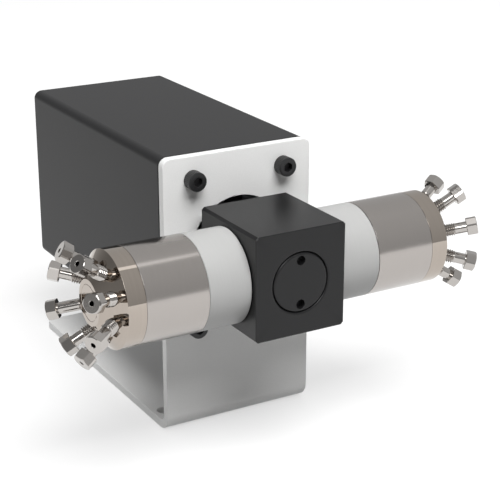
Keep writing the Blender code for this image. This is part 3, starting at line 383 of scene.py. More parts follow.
bracket_low, bracket_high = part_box("bracket")
hub_low, hub_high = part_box("hub")
sheet = 3.2 * MM
bend = 3.2 * MM  # inside radius
middle_radius = bend + sheet / 2
bend_length = middle_radius * math.pi / 2
outer = bend + sheet
base_length = bracket_high.y - (bracket_low.y + outer)
half_width = bracket_high.x
top = bend_length + bracket_high.z - outer
corner_radius = 3.1 * MM  # the cover's long edges have it too
shaft_height = 67.9 * MM
hub_clearance = 2.2 * MM
screw_hole, base_hole = 2.3 * MM, 2.7 * MM  # radii
base_hole_x = 25.1 * MM
base_hole_front, base_hole_rear = -44.2 * MM, 22.8 * MM


def up_the_plate(z):
    """Distance along the flat sheet of a height on the upright part."""
    return bend_length + z - outer


sheet_corners = [(half_width, -base_length), (half_width, top), (-half_width, top),
                 (-half_width, -base_length)]
outline = rounded(sheet_corners, corner_radius, True, 8)
holes = [circle(hub_high.x + hub_clearance, 0, up_the_plate(shaft_height), 96)]
for number in (1, 2, 3, 4):
    screw_low, screw_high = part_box(f"bracket_screw_{number}")
    middle = (screw_low + screw_high) / 2
    holes.append(circle(screw_hole, middle.x, up_the_plate(middle.z), 32))
for x in (-base_hole_x, base_hole_x):
    for y in (base_hole_front, base_hole_rear):
        holes.append(circle(base_hole, x, bracket_low.y + outer - y, 40))
blank = flat_sheet([outline, *holes], sheet, 0.3 * MM)
work = bmesh.new()
work.from_mesh(blank)
for line in np.linspace(0, bend_length, 11):
    bmesh.ops.bisect_plane(work, geom=work.verts[:] + work.edges[:] + work.faces[:], dist=1e-7,
                           plane_co=(0, line, 0), plane_no=(0, 1, 0))
work.to_mesh(blank)
work.free()
print("flat sheet", round(top + base_length, 4), "m long,", len(blank.polygons), "faces")

# %% [markdown]
# ## Bending the sheet
# A press folds the real sheet round a nose of 3.2 mm radius. The layer halfway through it
# keeps its length, so distances are measured along that layer. A Simple Deform modifier could
# bend the sheet too, but with a formula it is plain where every hole ends up.

# %% Bend the sheet
def bent(points):
    """Wrap the strip from 0 to the bend's length round the bend, with the outside facing front and down.

    With a = distance / middle radius, held between 0 and a right angle, and n the distance
    outwards from the sheet's middle: y = y0 - (r + n) sin a, z = z0 - (r + n) cos a. What lies
    before the strip runs on backwards and what lies after it runs on upwards.
    """
    x, s, n = points.T
    a = np.clip(s / middle_radius, 0, math.pi / 2)
    y = bracket_low.y + outer - (middle_radius + n) * np.sin(a) - np.minimum(s, 0)
    z = outer - (middle_radius + n) * np.cos(a) + np.maximum(s - bend_length, 0)
    return np.stack([x, y, z], axis=-1)


points = np.zeros(len(blank.vertices) * 3)
blank.vertices.foreach_get("co", points)
blank.vertices.foreach_set("co", bent(points.reshape(-1, 3)).ravel())
add_piece("bent_bracket", tidy(blank, 40), white_powder_coat, "root", "white_powder_coat", "bracket")

# %% [markdown]
# ## Cap screws
# Four black cap screws hold the bracket to the actuator. Each head has a fine knurl round it
# for the fingers, a small edge radius and a hexagon socket. A profile spun round an axis can't
# make a hexagon, so the grid's radius is a function of both the row and the angle. The same
# function makes the small screws inside the hub, the spacers and the back.

# %% Screw heads with a hexagon socket
def round_grid(rows, a, ring=False):
    """A surface round the Z axis, from rows of radius and height at the angles a.

    A point = (r cos a, r sin a, h). Each r and h is one number, or an array of one for each angle.
    """
    r, h = (np.stack([np.broadcast_to(value, a.shape) for value in values]) for values in zip(*rows))
    return grid_mesh(np.stack([r * np.cos(a), r * np.sin(a), h], axis=-1), ring)


def hexagon(across_flats, a, rounding=40):
    """Radius of a hexagon at angles: half its width / (sum of |cos(a - k 60 degrees)| ** p) ** (1 / p).

    A large p keeps the corners crisp, and any p rounds them a little, as a real edge is.
    """
    turns = a[:, None] - np.arange(3) * math.pi / 3
    return across_flats / 2 / (np.abs(np.cos(turns)) ** rounding).sum(1) ** (1 / rounding)


def cap_screw(head, height, shank, length, socket, depth):
    """A cap screw, its head's underside at 0: shaft, head, then down into the socket.

    The knurl's radius = head - rib depth * (1 - cos(ribs * a)) / 2. The edge above it is an
    arc: (knurl - edge (1 - cos t), height - edge (1 - sin t)).
    """
    a = full_turn(180)
    ribs, rib_depth = 36, 0.09 * MM
    knurl = head - rib_depth * (0.5 - 0.5 * np.cos(ribs * a))
    edge = 0.35 * MM
    arc = np.linspace(0, math.pi / 2, 5)[:, None]
    lip = 0.1 * MM
    hexed = hexagon(socket, a)
    rows = [(0, -length), (shank, -length), (shank, 0), (knurl, 0), (knurl, height - edge)]
    rows += [(knurl - edge * (1 - np.cos(t)), height - edge * (1 - np.sin(t))) for t in arc]
    rows += [(hexed + lip, height), (hexed, height - lip), (hexed, height - depth)]
    rows += [(0, height - depth - 0.3 * MM)]
    return round_grid(rows, a)


print("a 3.2 mm hexagon is", round(2 * hexagon(3.2, np.array([math.pi / 6]))[0], 2), "mm across its corners")

# %% [markdown]
# ## Placing the screws
# Each screw is made at the origin, pointing up, then turned and moved to its place. The place
# goes into the mesh and the object stays at the origin, so that a pattern on Object
# coordinates keeps its size and its direction on every piece.

# %% Four screws in their places
def along(direction, origin=(0, 0, 0)):
    """A place whose Z axis points along a direction."""
    turn = Vector((0, 0, 1)).rotation_difference(Vector(direction))
    return Matrix.Translation(origin) @ turn.to_matrix().to_4x4()


def placed(mesh, place):
    """The mesh moved to its place."""
    mesh.transform(place)
    return mesh


head_radius, shank_radius, socket_width, socket_depth = 3.5 * MM, 2 * MM, 3.2 * MM, 2.4 * MM
seat_y = bracket_low.y - 0.1 * MM
for number in (1, 2, 3, 4):
    screw_low, screw_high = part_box(f"bracket_screw_{number}")
    middle = (screw_low + screw_high) / 2
    screw = cap_screw(head_radius, seat_y - screw_low.y, shank_radius, screw_high.y - seat_y, socket_width,
                      socket_depth)
    place = along((0, -1, 0), (middle.x, seat_y, middle.z))
    add_piece(f"socket_cap_screw_{number}", placed(screw, place), black_oxide_steel, "root", "black_screws",
              f"bracket_screw_{number}")

# %% [markdown]
# ## Pieces with a steady outline
# The cover, the block and the connector's shell aren't round, but each has one outline that
# shrinks evenly along an axis. Every column of the grid follows the same profile and is pushed
# out in its own direction. A Bevel modifier could round a plain box too, but this gives each
# edge exactly the radius and the number of faces that it needs.

# %% Outlines that shrink evenly
def steady_outline(corners, radius, steps=6, between=0):
    """Centres and directions of a convex polygon's outline with rounded corners.

    A point is centre + (radius - inset) * direction, so one inset shrinks the outline evenly
    all round. A centre lies at corner - radius * b / (b . n), for b the sum of the normals of
    the two sides and n one of them. The corners run anticlockwise. Between two arcs, extra
    points slide from centre to centre with the side's own normal.
    """
    corners = np.array(corners, float)
    ahead = np.roll(corners, -1, axis=0) - corners
    ahead /= np.linalg.norm(ahead, axis=1, keepdims=True)
    after = np.stack([ahead[:, 1], -ahead[:, 0]], axis=-1)
    before = np.roll(after, 1, axis=0)
    both = before + after
    centre = corners - radius * both / (both * after).sum(1, keepdims=True)
    first = np.arctan2(before[:, 1], before[:, 0])
    turn = (np.arctan2(after[:, 1], after[:, 0]) - first) % (2 * math.pi)
    a = first[:, None] + turn[:, None] * np.linspace(0, 1, steps + 1)
    arcs = np.stack([np.cos(a), np.sin(a)], axis=-1)
    slide = np.linspace(0, 1, between + 2)[1:-1][None, :, None]
    sliding = centre[:, None] * (1 - slide) + np.roll(centre, -1, axis=0)[:, None] * slide
    centres = np.concatenate([np.repeat(centre[:, None], steps + 1, axis=1), sliding], axis=1)
    directions = np.concatenate([arcs, np.repeat(after[:, None], between, axis=1)], axis=1)
    return centres.reshape(-1, 2), directions.reshape(-1, 2), radius


def rectangle(width, height):
    """Corners of a rectangle round the origin, anticlockwise."""
    x, y = width / 2, height / 2
    return [(x, y), (-x, y), (-x, -y), (x, -y)]


def outlined(outline, profile, ring=False):
    """A surface whose outline is inset by the profile's first value at its second value's height."""
    centres, direction, radius = outline
    profile = np.asarray(profile)
    inset, h = profile[:, :1, None], profile[:, 1:]
    flat = centres[None] + (radius - inset) * direction[None]
    return grid_mesh(np.concatenate([flat, np.repeat(h[:, None], flat.shape[1], axis=1)], axis=-1), ring)


print("a rounded rectangle has", len(steady_outline(rectangle(4, 2), 0.5)[0]), "columns")

# %% [markdown]
# ## The cover
# The cover is a folded sheet-metal sleeve with rounded long edges. Its outline is a rounded
# rectangle, and the ring-shaped profile through its wall is rounded at both ends, so that the
# paint catches a thin line of light there as real paint does on an edge.

# %% Cover sleeve
def facing_front(x, y, z):
    """A place for an outline that faces the front: its X is across, its Y is up."""
    return Matrix.Translation((x, y, z)) @ Matrix.Rotation(math.pi / 2, 4, "X")


cover_low, cover_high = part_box("actuator_cover")
cover_middle = (cover_low.z + cover_high.z) / 2
cover_wall = 1.5 * MM
length = cover_high.y - cover_low.y
cover_outline = steady_outline(rectangle(cover_high.x * 2, cover_high.z - cover_low.z), corner_radius, 10)
section = rounded([(0, 0), (0, length), (cover_wall, length), (cover_wall, 0)], 0.4 * MM, True)
cover = outlined(cover_outline, section, True)
add_piece("painted_cover", placed(cover, facing_front(0, cover_high.y, cover_middle)), black_textured_enamel,
          "root", "black_paint", "actuator_cover")

# %% [markdown]
# ## The hub
# A dark ring carries the gear block on the actuator's front plate. Only its outside shows,
# through the hole in the bracket, but the whole ring is made, with the four small screws that
# hold it inside. Like most of the valve it comes off a lathe, so it is a profile of radius and
# height spun round an axis. The Screw modifier does the same with a line drawn by hand.

# %% Hub ring
def spun(profile, count=96, ring=False):
    """A turned piece: point = (r cos a, r sin a, h) at every angle for each (r, h) of the profile."""
    return round_grid(profile, full_turn(count), ring)


def joined(meshes):
    """Several shells as one mesh."""
    work = bmesh.new()
    for mesh in meshes:
        work.from_mesh(mesh)
    whole = bpy.data.meshes.new("joined")
    work.to_mesh(whole)
    work.free()
    whole.shade_smooth()
    whole.set_sharp_from_angle(angle=math.radians(30))
    return whole


def small_screw(x, y, z, direction, length, head=2.5 * MM, height=2.4 * MM):
    """A small cap screw of 3 mm thread, standing on its head's underside."""
    thread_radius, socket_width, socket_depth = 1.5 * MM, 2.5 * MM, 1.3 * MM
    screw = cap_screw(head, height, thread_radius, length, socket_width, socket_depth)
    return placed(screw, along(direction, (x, y, z)))


hub_radius = hub_high.x
hub_cavity = hub_radius - 2.4 * MM
hub_flange = 3.5 * MM
hub_bore = 8.6 * MM
depth = hub_high.y - hub_low.y
section = rounded([(hub_bore, 0), (hub_radius, 0), (hub_radius, depth), (hub_cavity, depth),
                   (hub_cavity, hub_flange), (hub_bore, hub_flange)],
                  np.array([0.1, 0.4, 0.4, 0.1, 0.2, 0.1]) * MM, True)
head_room = 2.8 * MM  # from a screw's middle to the wall
bolt_offset = (hub_cavity - head_room) * math.sqrt(0.5)
screws = [small_screw(x, hub_low.y + hub_flange, shaft_height + z, (0, 1, 0), 8 * MM)
          for x in (-bolt_offset, bolt_offset) for z in (-bolt_offset, bolt_offset)]
ring = placed(spun(section, 120, True), along((0, 1, 0), (0, hub_low.y, shaft_height)))
add_piece("hub_ring", joined([ring, *screws]), black_anodised_aluminium, "root", "black_anodised", "hub")

# %% [markdown]
# ## The gear block
# The block is milled from bar, with its long edges chamfered, then bored from the front and
# from both sides for the gears. One ring-shaped grid makes the outside and the stepped bore
# together: its outer rows follow the chamfered outline and its inner rows follow circles,
# column by column at the same angle. Small insets of the outline break the edges of the two
# ends, as a deburring tool does.

# %% Gear block
block_low, block_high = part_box("gear_block")
crossing = (block_low + block_high) / 2
block_half = block_high - crossing


def bored(outline, outside, bore):
    """A body with a steady outline and a stepped round bore from its front to its back.

    Outside rows are (inset, height). Bore rows are (radius, height), and a column's circle
    point lies at the same angle as its outline point: (r cos a, r sin a).
    """
    centres, direction, radius = outline
    outside, bore = np.array(outside), np.array(bore)
    shell = centres[None] + (radius - outside[:, :1, None]) * direction[None]
    edge = centres + radius * direction
    a = np.arctan2(edge[:, 1], edge[:, 0])
    tunnel = bore[:, :1, None] * np.stack([np.cos(a), np.sin(a)], axis=-1)[None]
    flat = np.concatenate([shell, tunnel])
    height = np.concatenate([outside[:, 1], bore[:, 1]])[:, None, None]
    return grid_mesh(np.concatenate([flat, np.broadcast_to(height, (*flat.shape[:2], 1))], axis=-1), True)


chamfer = 0.9 * MM
x, z = block_half.x, block_half.z
octagon = [(x, z - chamfer), (x - chamfer, z), (chamfer - x, z), (-x, z - chamfer),
           (-x, chamfer - z), (chamfer - x, -z), (x - chamfer, -z), (x, chamfer - z)]
front = block_half.y
broken = 0.25 * MM
outside = [(broken, -front), (0, broken - front), (0, front - broken), (broken, front)]
plug_bore = 10.75 * MM
lip = 0.9 * MM
arc = np.linspace(0, math.pi / 2, 9)
rim = np.stack([plug_bore + lip * (1 - np.sin(arc)), front - lip * (1 - np.cos(arc))], axis=-1)
plug_seat = front - 6.3 * MM
chamber, chamber_end = 9.85 * MM, 12.9 * MM  # the gears' room: its radius, and half its length
rear_bore = 8.3 * MM
bore = [*rim, (plug_bore, plug_seat), (chamber, plug_seat), (chamber, -chamber_end),
        (rear_bore, -chamber_end), (rear_bore, -front)]
block = placed(bored(steady_outline(octagon, 0.15 * MM, 3, 14), outside, bore), facing_front(*crossing))
print("gear block", [round(2 * half / MM, 1) for half in block_half], "mm")

# %% [markdown]
# ## The cross bore
# The valves' shafts run through a second bore, which crosses the first. Where two round holes
# meet, their edge is a curve that the rows of one grid can't follow, so this bore is cut out
# with the exact Boolean solver, as a drill would do it.

# %% Cross bore
def carved(mesh, tools):
    """What is left of a mesh after the tools are cut away with the exact Boolean solver."""
    rough = add_object("rough", mesh)
    drills = [add_object("drill", tool) for tool in tools]
    for drill in drills:
        step = rough.modifiers.new("carve", "BOOLEAN")
        step.object = drill
        step.solver = "EXACT"
    bpy.context.view_layer.update()
    left = bpy.data.meshes.new_from_object(rough.evaluated_get(bpy.context.evaluated_depsgraph_get()))
    for used in (rough, *drills):
        bpy.data.objects.remove(used)
    return tidy(left)


cross_bore, cross_chamber, beyond = 6.8 * MM, 8.75 * MM, 20 * MM
cross = rounded([(0, -beyond), (cross_bore, -beyond), (cross_bore, -chamber_end),
                 (cross_chamber, -chamber_end), (cross_chamber, chamber_end), (cross_bore, chamber_end),
                 (cross_bore, beyond), (0, beyond)], 0)
block = carved(block, [placed(spun(cross, 48), along((1, 0, 0), crossing))])
add_piece("milled_gear_block", block, black_anodised_aluminium, "root", "black_anodised", "gear_block")

# %% [markdown]
# ## The bearing plug
# A threaded plug closes the block's front bore and holds a bearing in its back. Two small
# holes in its face take the pins of a spanner. It is turned from bar, so its profile is spun,
# and both holes are cut from it with the exact Boolean solver, as they are drilled in it.

# %% Bearing plug with two spanner holes
plug_radius = 10.6 * MM
plug_back = front - 6 * MM
bearing_seat, seat_floor = 5.3 * MM, front - 2.7 * MM
face = [(0, front), (plug_radius, front), (plug_radius, plug_back), (bearing_seat, plug_back),
        (bearing_seat, seat_floor), (0, seat_floor)]
plug = spun(rounded(face, np.array([0, 0.9, 0.1, 0.1, 0.1, 0]) * MM, steps=8), 120)
pin_radius, pin_floor, mouth = 1.65 * MM, front - 2.3 * MM, 1.74 * MM  # a hole's mouth is a little wider
pin_hole = [(0, pin_floor), (pin_radius, pin_floor), (pin_radius, front - 0.08 * MM),
            (mouth, front + 0.01 * MM), (mouth, front + MM), (0, front + MM)]
pin_offset = 7.85 * MM
holes = [placed(spun(pin_hole, 40), Matrix.Translation((0, side * pin_offset, 0))) for side in (-1, 1)]
plug = placed(carved(plug, holes), facing_front(*crossing))
add_piece("threaded_bearing_plug", plug, black_anodised_aluminium, "root", "black_anodised", "bearing_plug")

# %% [markdown]
# ## The valves: spacer, barrel and stator
# On each side a white spacer, a steel barrel and a steel stator follow each other on one axis,
# all of one diameter. They are turned, so each is a profile spun round that axis. Their edges
# keep the small radius that a lathe tool leaves, which draws the thin bright line at each seam.

# %% Spacers and barrels
sides = ((-1, "left"), (1, "right"))
valve_radius = 16.9 * MM
spacer_start = 17.72 * MM
spacer_cavity = valve_radius - 3.7 * MM
spacer_flange = spacer_start + 3.5 * MM
driver_hole = 7.2 * MM
bolt_circle = 10.4 * MM
barrel_bore, barrel_floor, barrel_hole = 9.2 * MM, 3.7 * MM, 4.4 * MM
seam = 0.1 * MM  # between the spacer and the barrel
turns = np.arange(3) * 2 * math.pi / 3 + math.pi / 2
spots = np.stack([np.cos(turns), np.sin(turns)], axis=-1) * bolt_circle
for side, word in sides:
    place = along((side, 0, 0), crossing)
    low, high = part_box(f"{word}_spacer")
    end = max(-low.x, high.x)
    section = rounded([(valve_radius, spacer_start), (valve_radius, end), (spacer_cavity, end),
                       (spacer_cavity, spacer_flange), (driver_hole, spacer_flange),
                       (driver_hole, spacer_start)],
                      np.array([0.45, 0.3, 0.1, 0.3, 0.2, 0.2]) * MM, True)
    screws = [small_screw(x, y, spacer_flange, (0, 0, 1), 7 * MM) for x, y in spots]
    spacer = joined([spun(section, 144, True), *screws])
    add_piece(f"{word}_turned_spacer", placed(spacer, place), white_acetal, "root", "white_plastic",
              f"{word}_spacer")
    low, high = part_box(f"{word}_barrel")
    barrel_end = max(-low.x, high.x)
    start = end + seam
    floor_at = start + barrel_floor
    section = rounded([(valve_radius, start), (valve_radius, barrel_end), (barrel_bore, barrel_end),
                       (barrel_bore, floor_at), (barrel_hole, floor_at), (barrel_hole, start)],
                      0.12 * MM, True)
    barrel = placed(spun(section, 192, True), place)
    add_piece(f"{word}_ground_barrel", barrel, ground_stainless_steel, "root", "bright_steel",
              f"{word}_barrel")

# %% [markdown]
# ## Stators
# A stator closes each valve. Its end is a blunt cone with eight ports square to its slope, so
# that the ports meet close together inside, and each nut still has room for a spanner outside.
# Rim, cone and flat end are one spun profile, with a fine groove that rings the flat end. The
# ports are cut from it with the exact Boolean solver, at the places that the nuts take later.

# %% Stators with eight ports
port_circle = 12 * MM  # where each port's axis meets the cone
cone_end_radius = 7.95 * MM
rim_end = 62.75 * MM
cone_end = 69 * MM
cone_tilt = math.atan2(cone_end - rim_end, valve_radius - cone_end_radius)
mouth_height = rim_end + (valve_radius - port_circle) * math.tan(cone_tilt)


def port_places(side):
    """The eight places on a cone, each with its Z axis square to the cone and pointing outwards.

    Port i is turned by 2 pi (i + 1 / 2) / 8 round the valve's axis.
    """
    turns = [Matrix.Rotation(2 * math.pi * (i + 0.5) / 8, 4, "Z") for i in range(8)]
    mouth = Matrix.Translation((port_circle, 0, mouth_height)) @ Matrix.Rotation(cone_tilt, 4, "Y")
    return [along((side, 0, 0), crossing) @ turn @ mouth for turn in turns]


start = barrel_end + 0.06 * MM
groove_floor = cone_end - 0.12 * MM
section = rounded([(0, start), (valve_radius, start), (valve_radius, rim_end), (cone_end_radius, cone_end),
                   (6.3 * MM, cone_end), (6.2 * MM, groove_floor), (6.1 * MM, groove_floor),
                   (6.0 * MM, cone_end), (0, cone_end)],
                  np.array([0, 0.1, 0.12, 0.12, 0.05, 0, 0, 0.05, 0]) * MM)
passage, port_floor = 0.4 * MM, -12 * MM
seat_end, seat_start = (1.5 * MM, -8.2 * MM), (2.5 * MM, -5.8 * MM)  # the cone that the ferrule seals in
mouth, above = 2.6 * MM, 3 * MM
port = [(0, port_floor), (passage, port_floor), (passage, seat_end[1]), seat_end, seat_start,
        (seat_start[0], -0.1 * MM), (mouth, 0), (mouth, above), (0, above)]
for side, word in sides:
    stator = placed(spun(section, 192), along((side, 0, 0), crossing))
    stator = carved(stator, [placed(spun(port, 40), place) for place in port_places(side)])
    add_piece(f"{word}_polished_stator", stator, polished_warm_steel, "root", "warm_steel", f"{word}_stator")

# %% [markdown]
# ## Tube nuts
# A tube nut clamps a thin tube in each port. It is turned from hexagon bar: a head whose flat
# end is faced, with a 30 degree chamfer that leaves arcs on its six sides, a plain neck, a
# screw thread and a cone-shaped ferrule at the tip. One grid makes it all, because its radius
# is a function of row and angle. The thread is a triangle wave that climbs one pitch a turn.

# %% Tube nuts
def tube_nut(reach, neck):
    """A tube nut whose origin is the port's mouth, as one ring-shaped grid through its bore.

    The head's radius is the hexagon's. Its end slopes down outside the faced circle by
    (r - face) * tan 30 degrees. The thread's radius = shank + middle + half depth * wave(h /
    pitch - a / 2 pi), where wave is a triangle of height 1.3 cut off at 1 and -1, so that
    crest and root are flat. What it adds to the shank fades out at the thread's ends.
    """
    a = full_turn(48)
    bore, face, pitch = 0.85 * MM, 3.0 * MM, 0.794 * MM
    shank, tip_radius, relief = 2.0 * MM, 1.2 * MM, 0.15 * MM
    across_flats, head_length, ferrule_length = 6.35 * MM, 3.8 * MM, 2.4 * MM
    middle, half_depth = 0.16 * MM, 0.24 * MM  # of the thread, above the shank
    head = hexagon(across_flats, a)
    head_low = reach - head_length
    thread_top, thread_low = head_low - neck, -5.5 * MM
    tip_low = thread_low - ferrule_length
    slope = math.tan(math.radians(30))
    rows = [(bore, reach - relief), (bore + relief, reach), (face, reach),
            (head, reach - (head - face) * slope), (head, head_low + relief), (head - relief, head_low),
            (shank, head_low), (shank, thread_top)]
    level = np.arange(thread_top, thread_low, -pitch / 8)[:, None]
    climb = (level / pitch - a / (2 * math.pi)) % 1
    fade = np.clip((thread_top - level) / pitch, 0, 1) * np.clip((level - thread_low) / pitch, 0, 1)
    wave = np.clip(1.3 * (1 - 4 * np.abs(climb - 0.5)), -1, 1)
    rows += zip(shank + fade * (middle + half_depth * wave), level[:, 0])
    rows += [(shank, thread_low), (tip_radius, tip_low), (bore, tip_low)]
    return round_grid(rows, a, True)


usual = (11.39 * MM, 3.89 * MM)  # how far out it stands, and the length of its neck
longer = {("left", 3): (12.6 * MM, 7.2 * MM)}  # this one has a longer neck and stands further out
tightened = {("right", 6): 30, ("right", 7): 10}  # degrees; the others are turned by 20
for side, word in sides:
    for number, place in enumerate(port_places(side), 1):
        nut = tube_nut(*longer.get((word, number), usual))
        spin = Matrix.Rotation(math.radians(tightened.get((word, number), 20)), 4, "Z")
        add_piece(f"{word}_hexagon_nut_{number}", placed(nut, place @ spin), bright_turned_steel, "root",
                  "bright_steel", f"{word}_tube_nut_{number}")

# %% [markdown]
# ## The rear panel
# A plate closes the back of the cover, with a D-shaped hole for a connector and a round one for
# a power inlet. It is laser-cut sheet, so it is a filled 2D curve as the bracket was. Four
# screws hold it to the tie rods, and four pillars carry the circuit board behind it. The
# photograph doesn't show the back, so everything there is plain and standard.

# %% Rear panel
panel_low, panel_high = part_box("rear_panel")
serial_low, serial_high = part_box("serial_connector")
jack_low, jack_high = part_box("power_jack")
serial_z = (serial_low.z + serial_high.z) / 2
jack_z = (jack_low.z + jack_high.z) / 2
panel_front, panel_back = 57.6 * MM, 59.6 * MM
half_x, half_z = panel_high.x, (panel_high.z - panel_low.z) / 2
shell_width, shell_height, slant = 16.9 * MM, 8.3 * MM, 1.46 * MM
shell_corner = 1.2 * MM


def d_shape(grow):
    """Corners of the connector's D shape, grown all round. Its sides lean in by the slant at the bottom."""
    x, y = shell_width / 2 + grow, shell_height / 2 + grow
    return [(x, y), (-x, y), (slant - x, -y), (x - slant, -y)]


outline = rounded(rectangle(2 * half_x, 2 * half_z), 1.6 * MM, True, 8)
d_hole = rounded(d_shape(0.3 * MM), shell_corner, True, 6) + np.array([0, serial_z - cover_middle])
jack_hole = circle(4.8 * MM, 0, jack_z - cover_middle)
plate = flat_sheet([outline, d_hole, jack_hole], panel_back - panel_front, 0.2 * MM)
plate = placed(plate, facing_front(0, (panel_front + panel_back) / 2, cover_middle))
rod_x, rod_z = 24.7 * MM, 29.8 * MM
screws = [small_screw(x, panel_back, cover_middle + z, (0, 1, 0), 6.8 * MM, 2.6 * MM, 1.6 * MM)
          for x in (-rod_x, rod_x) for z in (-rod_z, rod_z)]
pillar_radius, pillar_length = 2.4 * MM, 9.7 * MM
pillar_x, pillar_z = 17 * MM, 23 * MM
pillar = [(0, 0), (pillar_radius, 0), (pillar_radius, pillar_length), (0, pillar_length)]
pillars = [placed(spun(pillar, 6), along((0, -1, 0), (x, panel_front, cover_middle + z)))
           for x in (-pillar_x, pillar_x) for z in (-pillar_z, pillar_z)]
panel = joined([plate, *screws, *pillars])
add_piece("rear_panel_plate", panel, black_textured_enamel, "root", "black_paint", "rear_panel")

# %% [markdown]
# ## The connector
# A nine-way connector has a D-shaped shell, drawn from sheet and plated, so that a plug fits
# only one way up. A moulded insulator fills it, with five contact holes above four, 2.77 mm
# apart. The shell is an outlined ring, and the insulator is a thick flat sheet with its holes
# cut out by the exact Boolean solver.

# %% Shell and insulator
shell_end = serial_high.y
shell_wall = 0.6 * MM
length = shell_end - (panel_back - 11.7 * MM)
section = rounded([(0, 0), (0, length), (shell_wall, length), (shell_wall, 0)], 0.2 * MM, True)
shell = outlined(steady_outline(d_shape(0), shell_corner, 6), section, True)
shell = placed(shell, facing_front(0, shell_end, serial_z))
add_piece("connector_shell", shell, nickel_plated_shell, "root", "machined_aluminium", "serial_connector")

insulator_face = shell_end - 0.9 * MM
insulator_depth = 9 * MM
insulator = flat_sheet([rounded(d_shape(-0.75 * MM), 0.8 * MM, True, 5)], insulator_depth, 0.15 * MM)
insulator = placed(insulator, facing_front(0, insulator_face - insulator_depth / 2, serial_z))
contact_pitch, contact_row = 2.77 * MM, 1.42 * MM
upper = [((i - 2) * contact_pitch, contact_row) for i in range(5)]
lower = [((i - 1.5) * contact_pitch, -contact_row) for i in range(4)]
contact_radius, contact_floor, mouth = 0.55 * MM, -3 * MM, 0.7 * MM
contact = [(0, contact_floor), (contact_radius, contact_floor), (contact_radius, -0.15 * MM),
           (mouth, 0.01 * MM), (mouth, MM), (0, MM)]
drills = [placed(spun(contact, 16), along((0, 1, 0), (x, insulator_face, serial_z + z)))
          for x, z in upper + lower]
add_piece("connector_insulator", carved(insulator, drills), moulded_black_plastic, "root", "black_plastic")

# %% [markdown]
# ## Screw posts
# A hexagon post on each side of the connector takes one of the plug's screws. It is turned
# from hexagon bar as a tube nut is, so it is the same kind of grid, closed at both ends.

# %% Posts
def hexagon_post(x, z):
    """A hexagon post with a threaded hole for the plug's screw, standing on the panel.

    Its end slopes down outside the faced circle by 0.6 (r - face).
    """
    a = full_turn(48)
    across_flats, height, face, stud = 4.75 * MM, 4.6 * MM, 2.3 * MM, 1.4 * MM
    stud_end, mouth, bore = -4 * MM, 1.3 * MM, 1.1 * MM
    head = hexagon(across_flats, a)
    rows = [(0, stud_end), (stud, stud_end), (stud, 0), (head, 0), (head, height - (head - face) * 0.6),
            (face, height), (mouth, height), (bore, height - 0.3 * MM), (bore, 1.5 * MM), (0, 1.2 * MM)]
    return placed(round_grid(rows, a), along((0, 1, 0), (x, panel_back + 0.05 * MM, z)))


post_x = 12.5 * MM
posts = joined([hexagon_post(x, serial_z) for x in (-post_x, post_x)])
add_piece("connector_posts", posts, bright_turned_steel, "root", "bright_steel")

# %% [markdown]
# ## The power inlet
# The inlet is a moulded tube with a steel pin in its middle, both round, so both are spun. The
# tube's mouth and the pin's tip are rounded, to lead the plug in.

# %% Power inlet
jack_start, jack_end = jack_low.y, jack_high.y
jack_radius, socket_radius, pin_base = 4.5 * MM, 2.9 * MM, jack_end - 9 * MM
place = along((0, 1, 0), (0, 0, jack_z))
section = [(0, jack_start), (jack_radius, jack_start), (jack_radius, jack_end), (socket_radius, jack_end),
           (socket_radius, pin_base), (0, pin_base)]
tube = placed(spun(rounded(section, np.array([0, 0.3, 0.4, 0.35, 0, 0]) * MM), 64), place)
add_piece("power_inlet_body", tube, moulded_black_plastic, "root", "black_plastic", "power_jack")
section = [(0, pin_base - MM), (MM, pin_base - MM), (MM, jack_end - MM), (0, jack_end - MM)]
pin = placed(spun(rounded(section, np.array([0, 0, 0.5, 0]) * MM), 32), place)
add_piece("power_inlet_pin", pin, bright_turned_steel, "root", "bright_steel")

# %% [markdown]
# ## The inner pieces
# Gears, shafts, bearings, springs, gearbox, motor and board are inside, so their CAD shapes
# are enough. Each still gets the finish of its real material, because the part may be opened,
# cut or shown in pieces by whoever uses it.

# %% Finishes for the pieces that keep their CAD shape
inner_finishes = {
    milled_aluminium: ("actuator_front_plate", "gearhead", "shaft_coupling"),
    moulded_black_plastic: ("position_sensor",),
    laminated_motor_enamel: ("motor",),
    lacquered_circuit_board: ("control_board",),
    hobbed_brass: ("input_gear", "left_output_gear", "right_output_gear"),
    lapped_valve_polymer: ("left_rotor", "right_rotor"),
    tempered_spring_steel: ("left_disc_springs", "right_disc_springs"),
    ground_shaft_steel: (
        "front_bearing", "rear_bearing", "left_shaft_bearing", "right_shaft_bearing", "input_shaft",
        "gearhead_shaft", "encoder_disc", "left_output_shaft", "right_output_shaft", "left_driver",
        "right_driver", "left_thrust_bearing", "right_thrust_bearing",
    ),
}
for finish, names in inner_finishes.items():
    for name in names:
        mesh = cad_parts[name].data
        mesh.materials.clear()
        mesh.materials.append(finish)
print(sum(len(names) for names in inner_finishes.values()), "inner pieces have their finishes")

# %% [markdown]
# ## The floor
# The object stands on a plain white floor that fills the view. The floor's own colour is a
# middle grey, so that it doesn't light the undersides too much. Added white, seen only by
# camera, glossy and transmitted rays, lifts it to white while it keeps the soft shadow.
# Polished metal shows this bright floor below its horizon. A second face just above the floor
# has no added white and hides under the base, so the base's holes look dark.

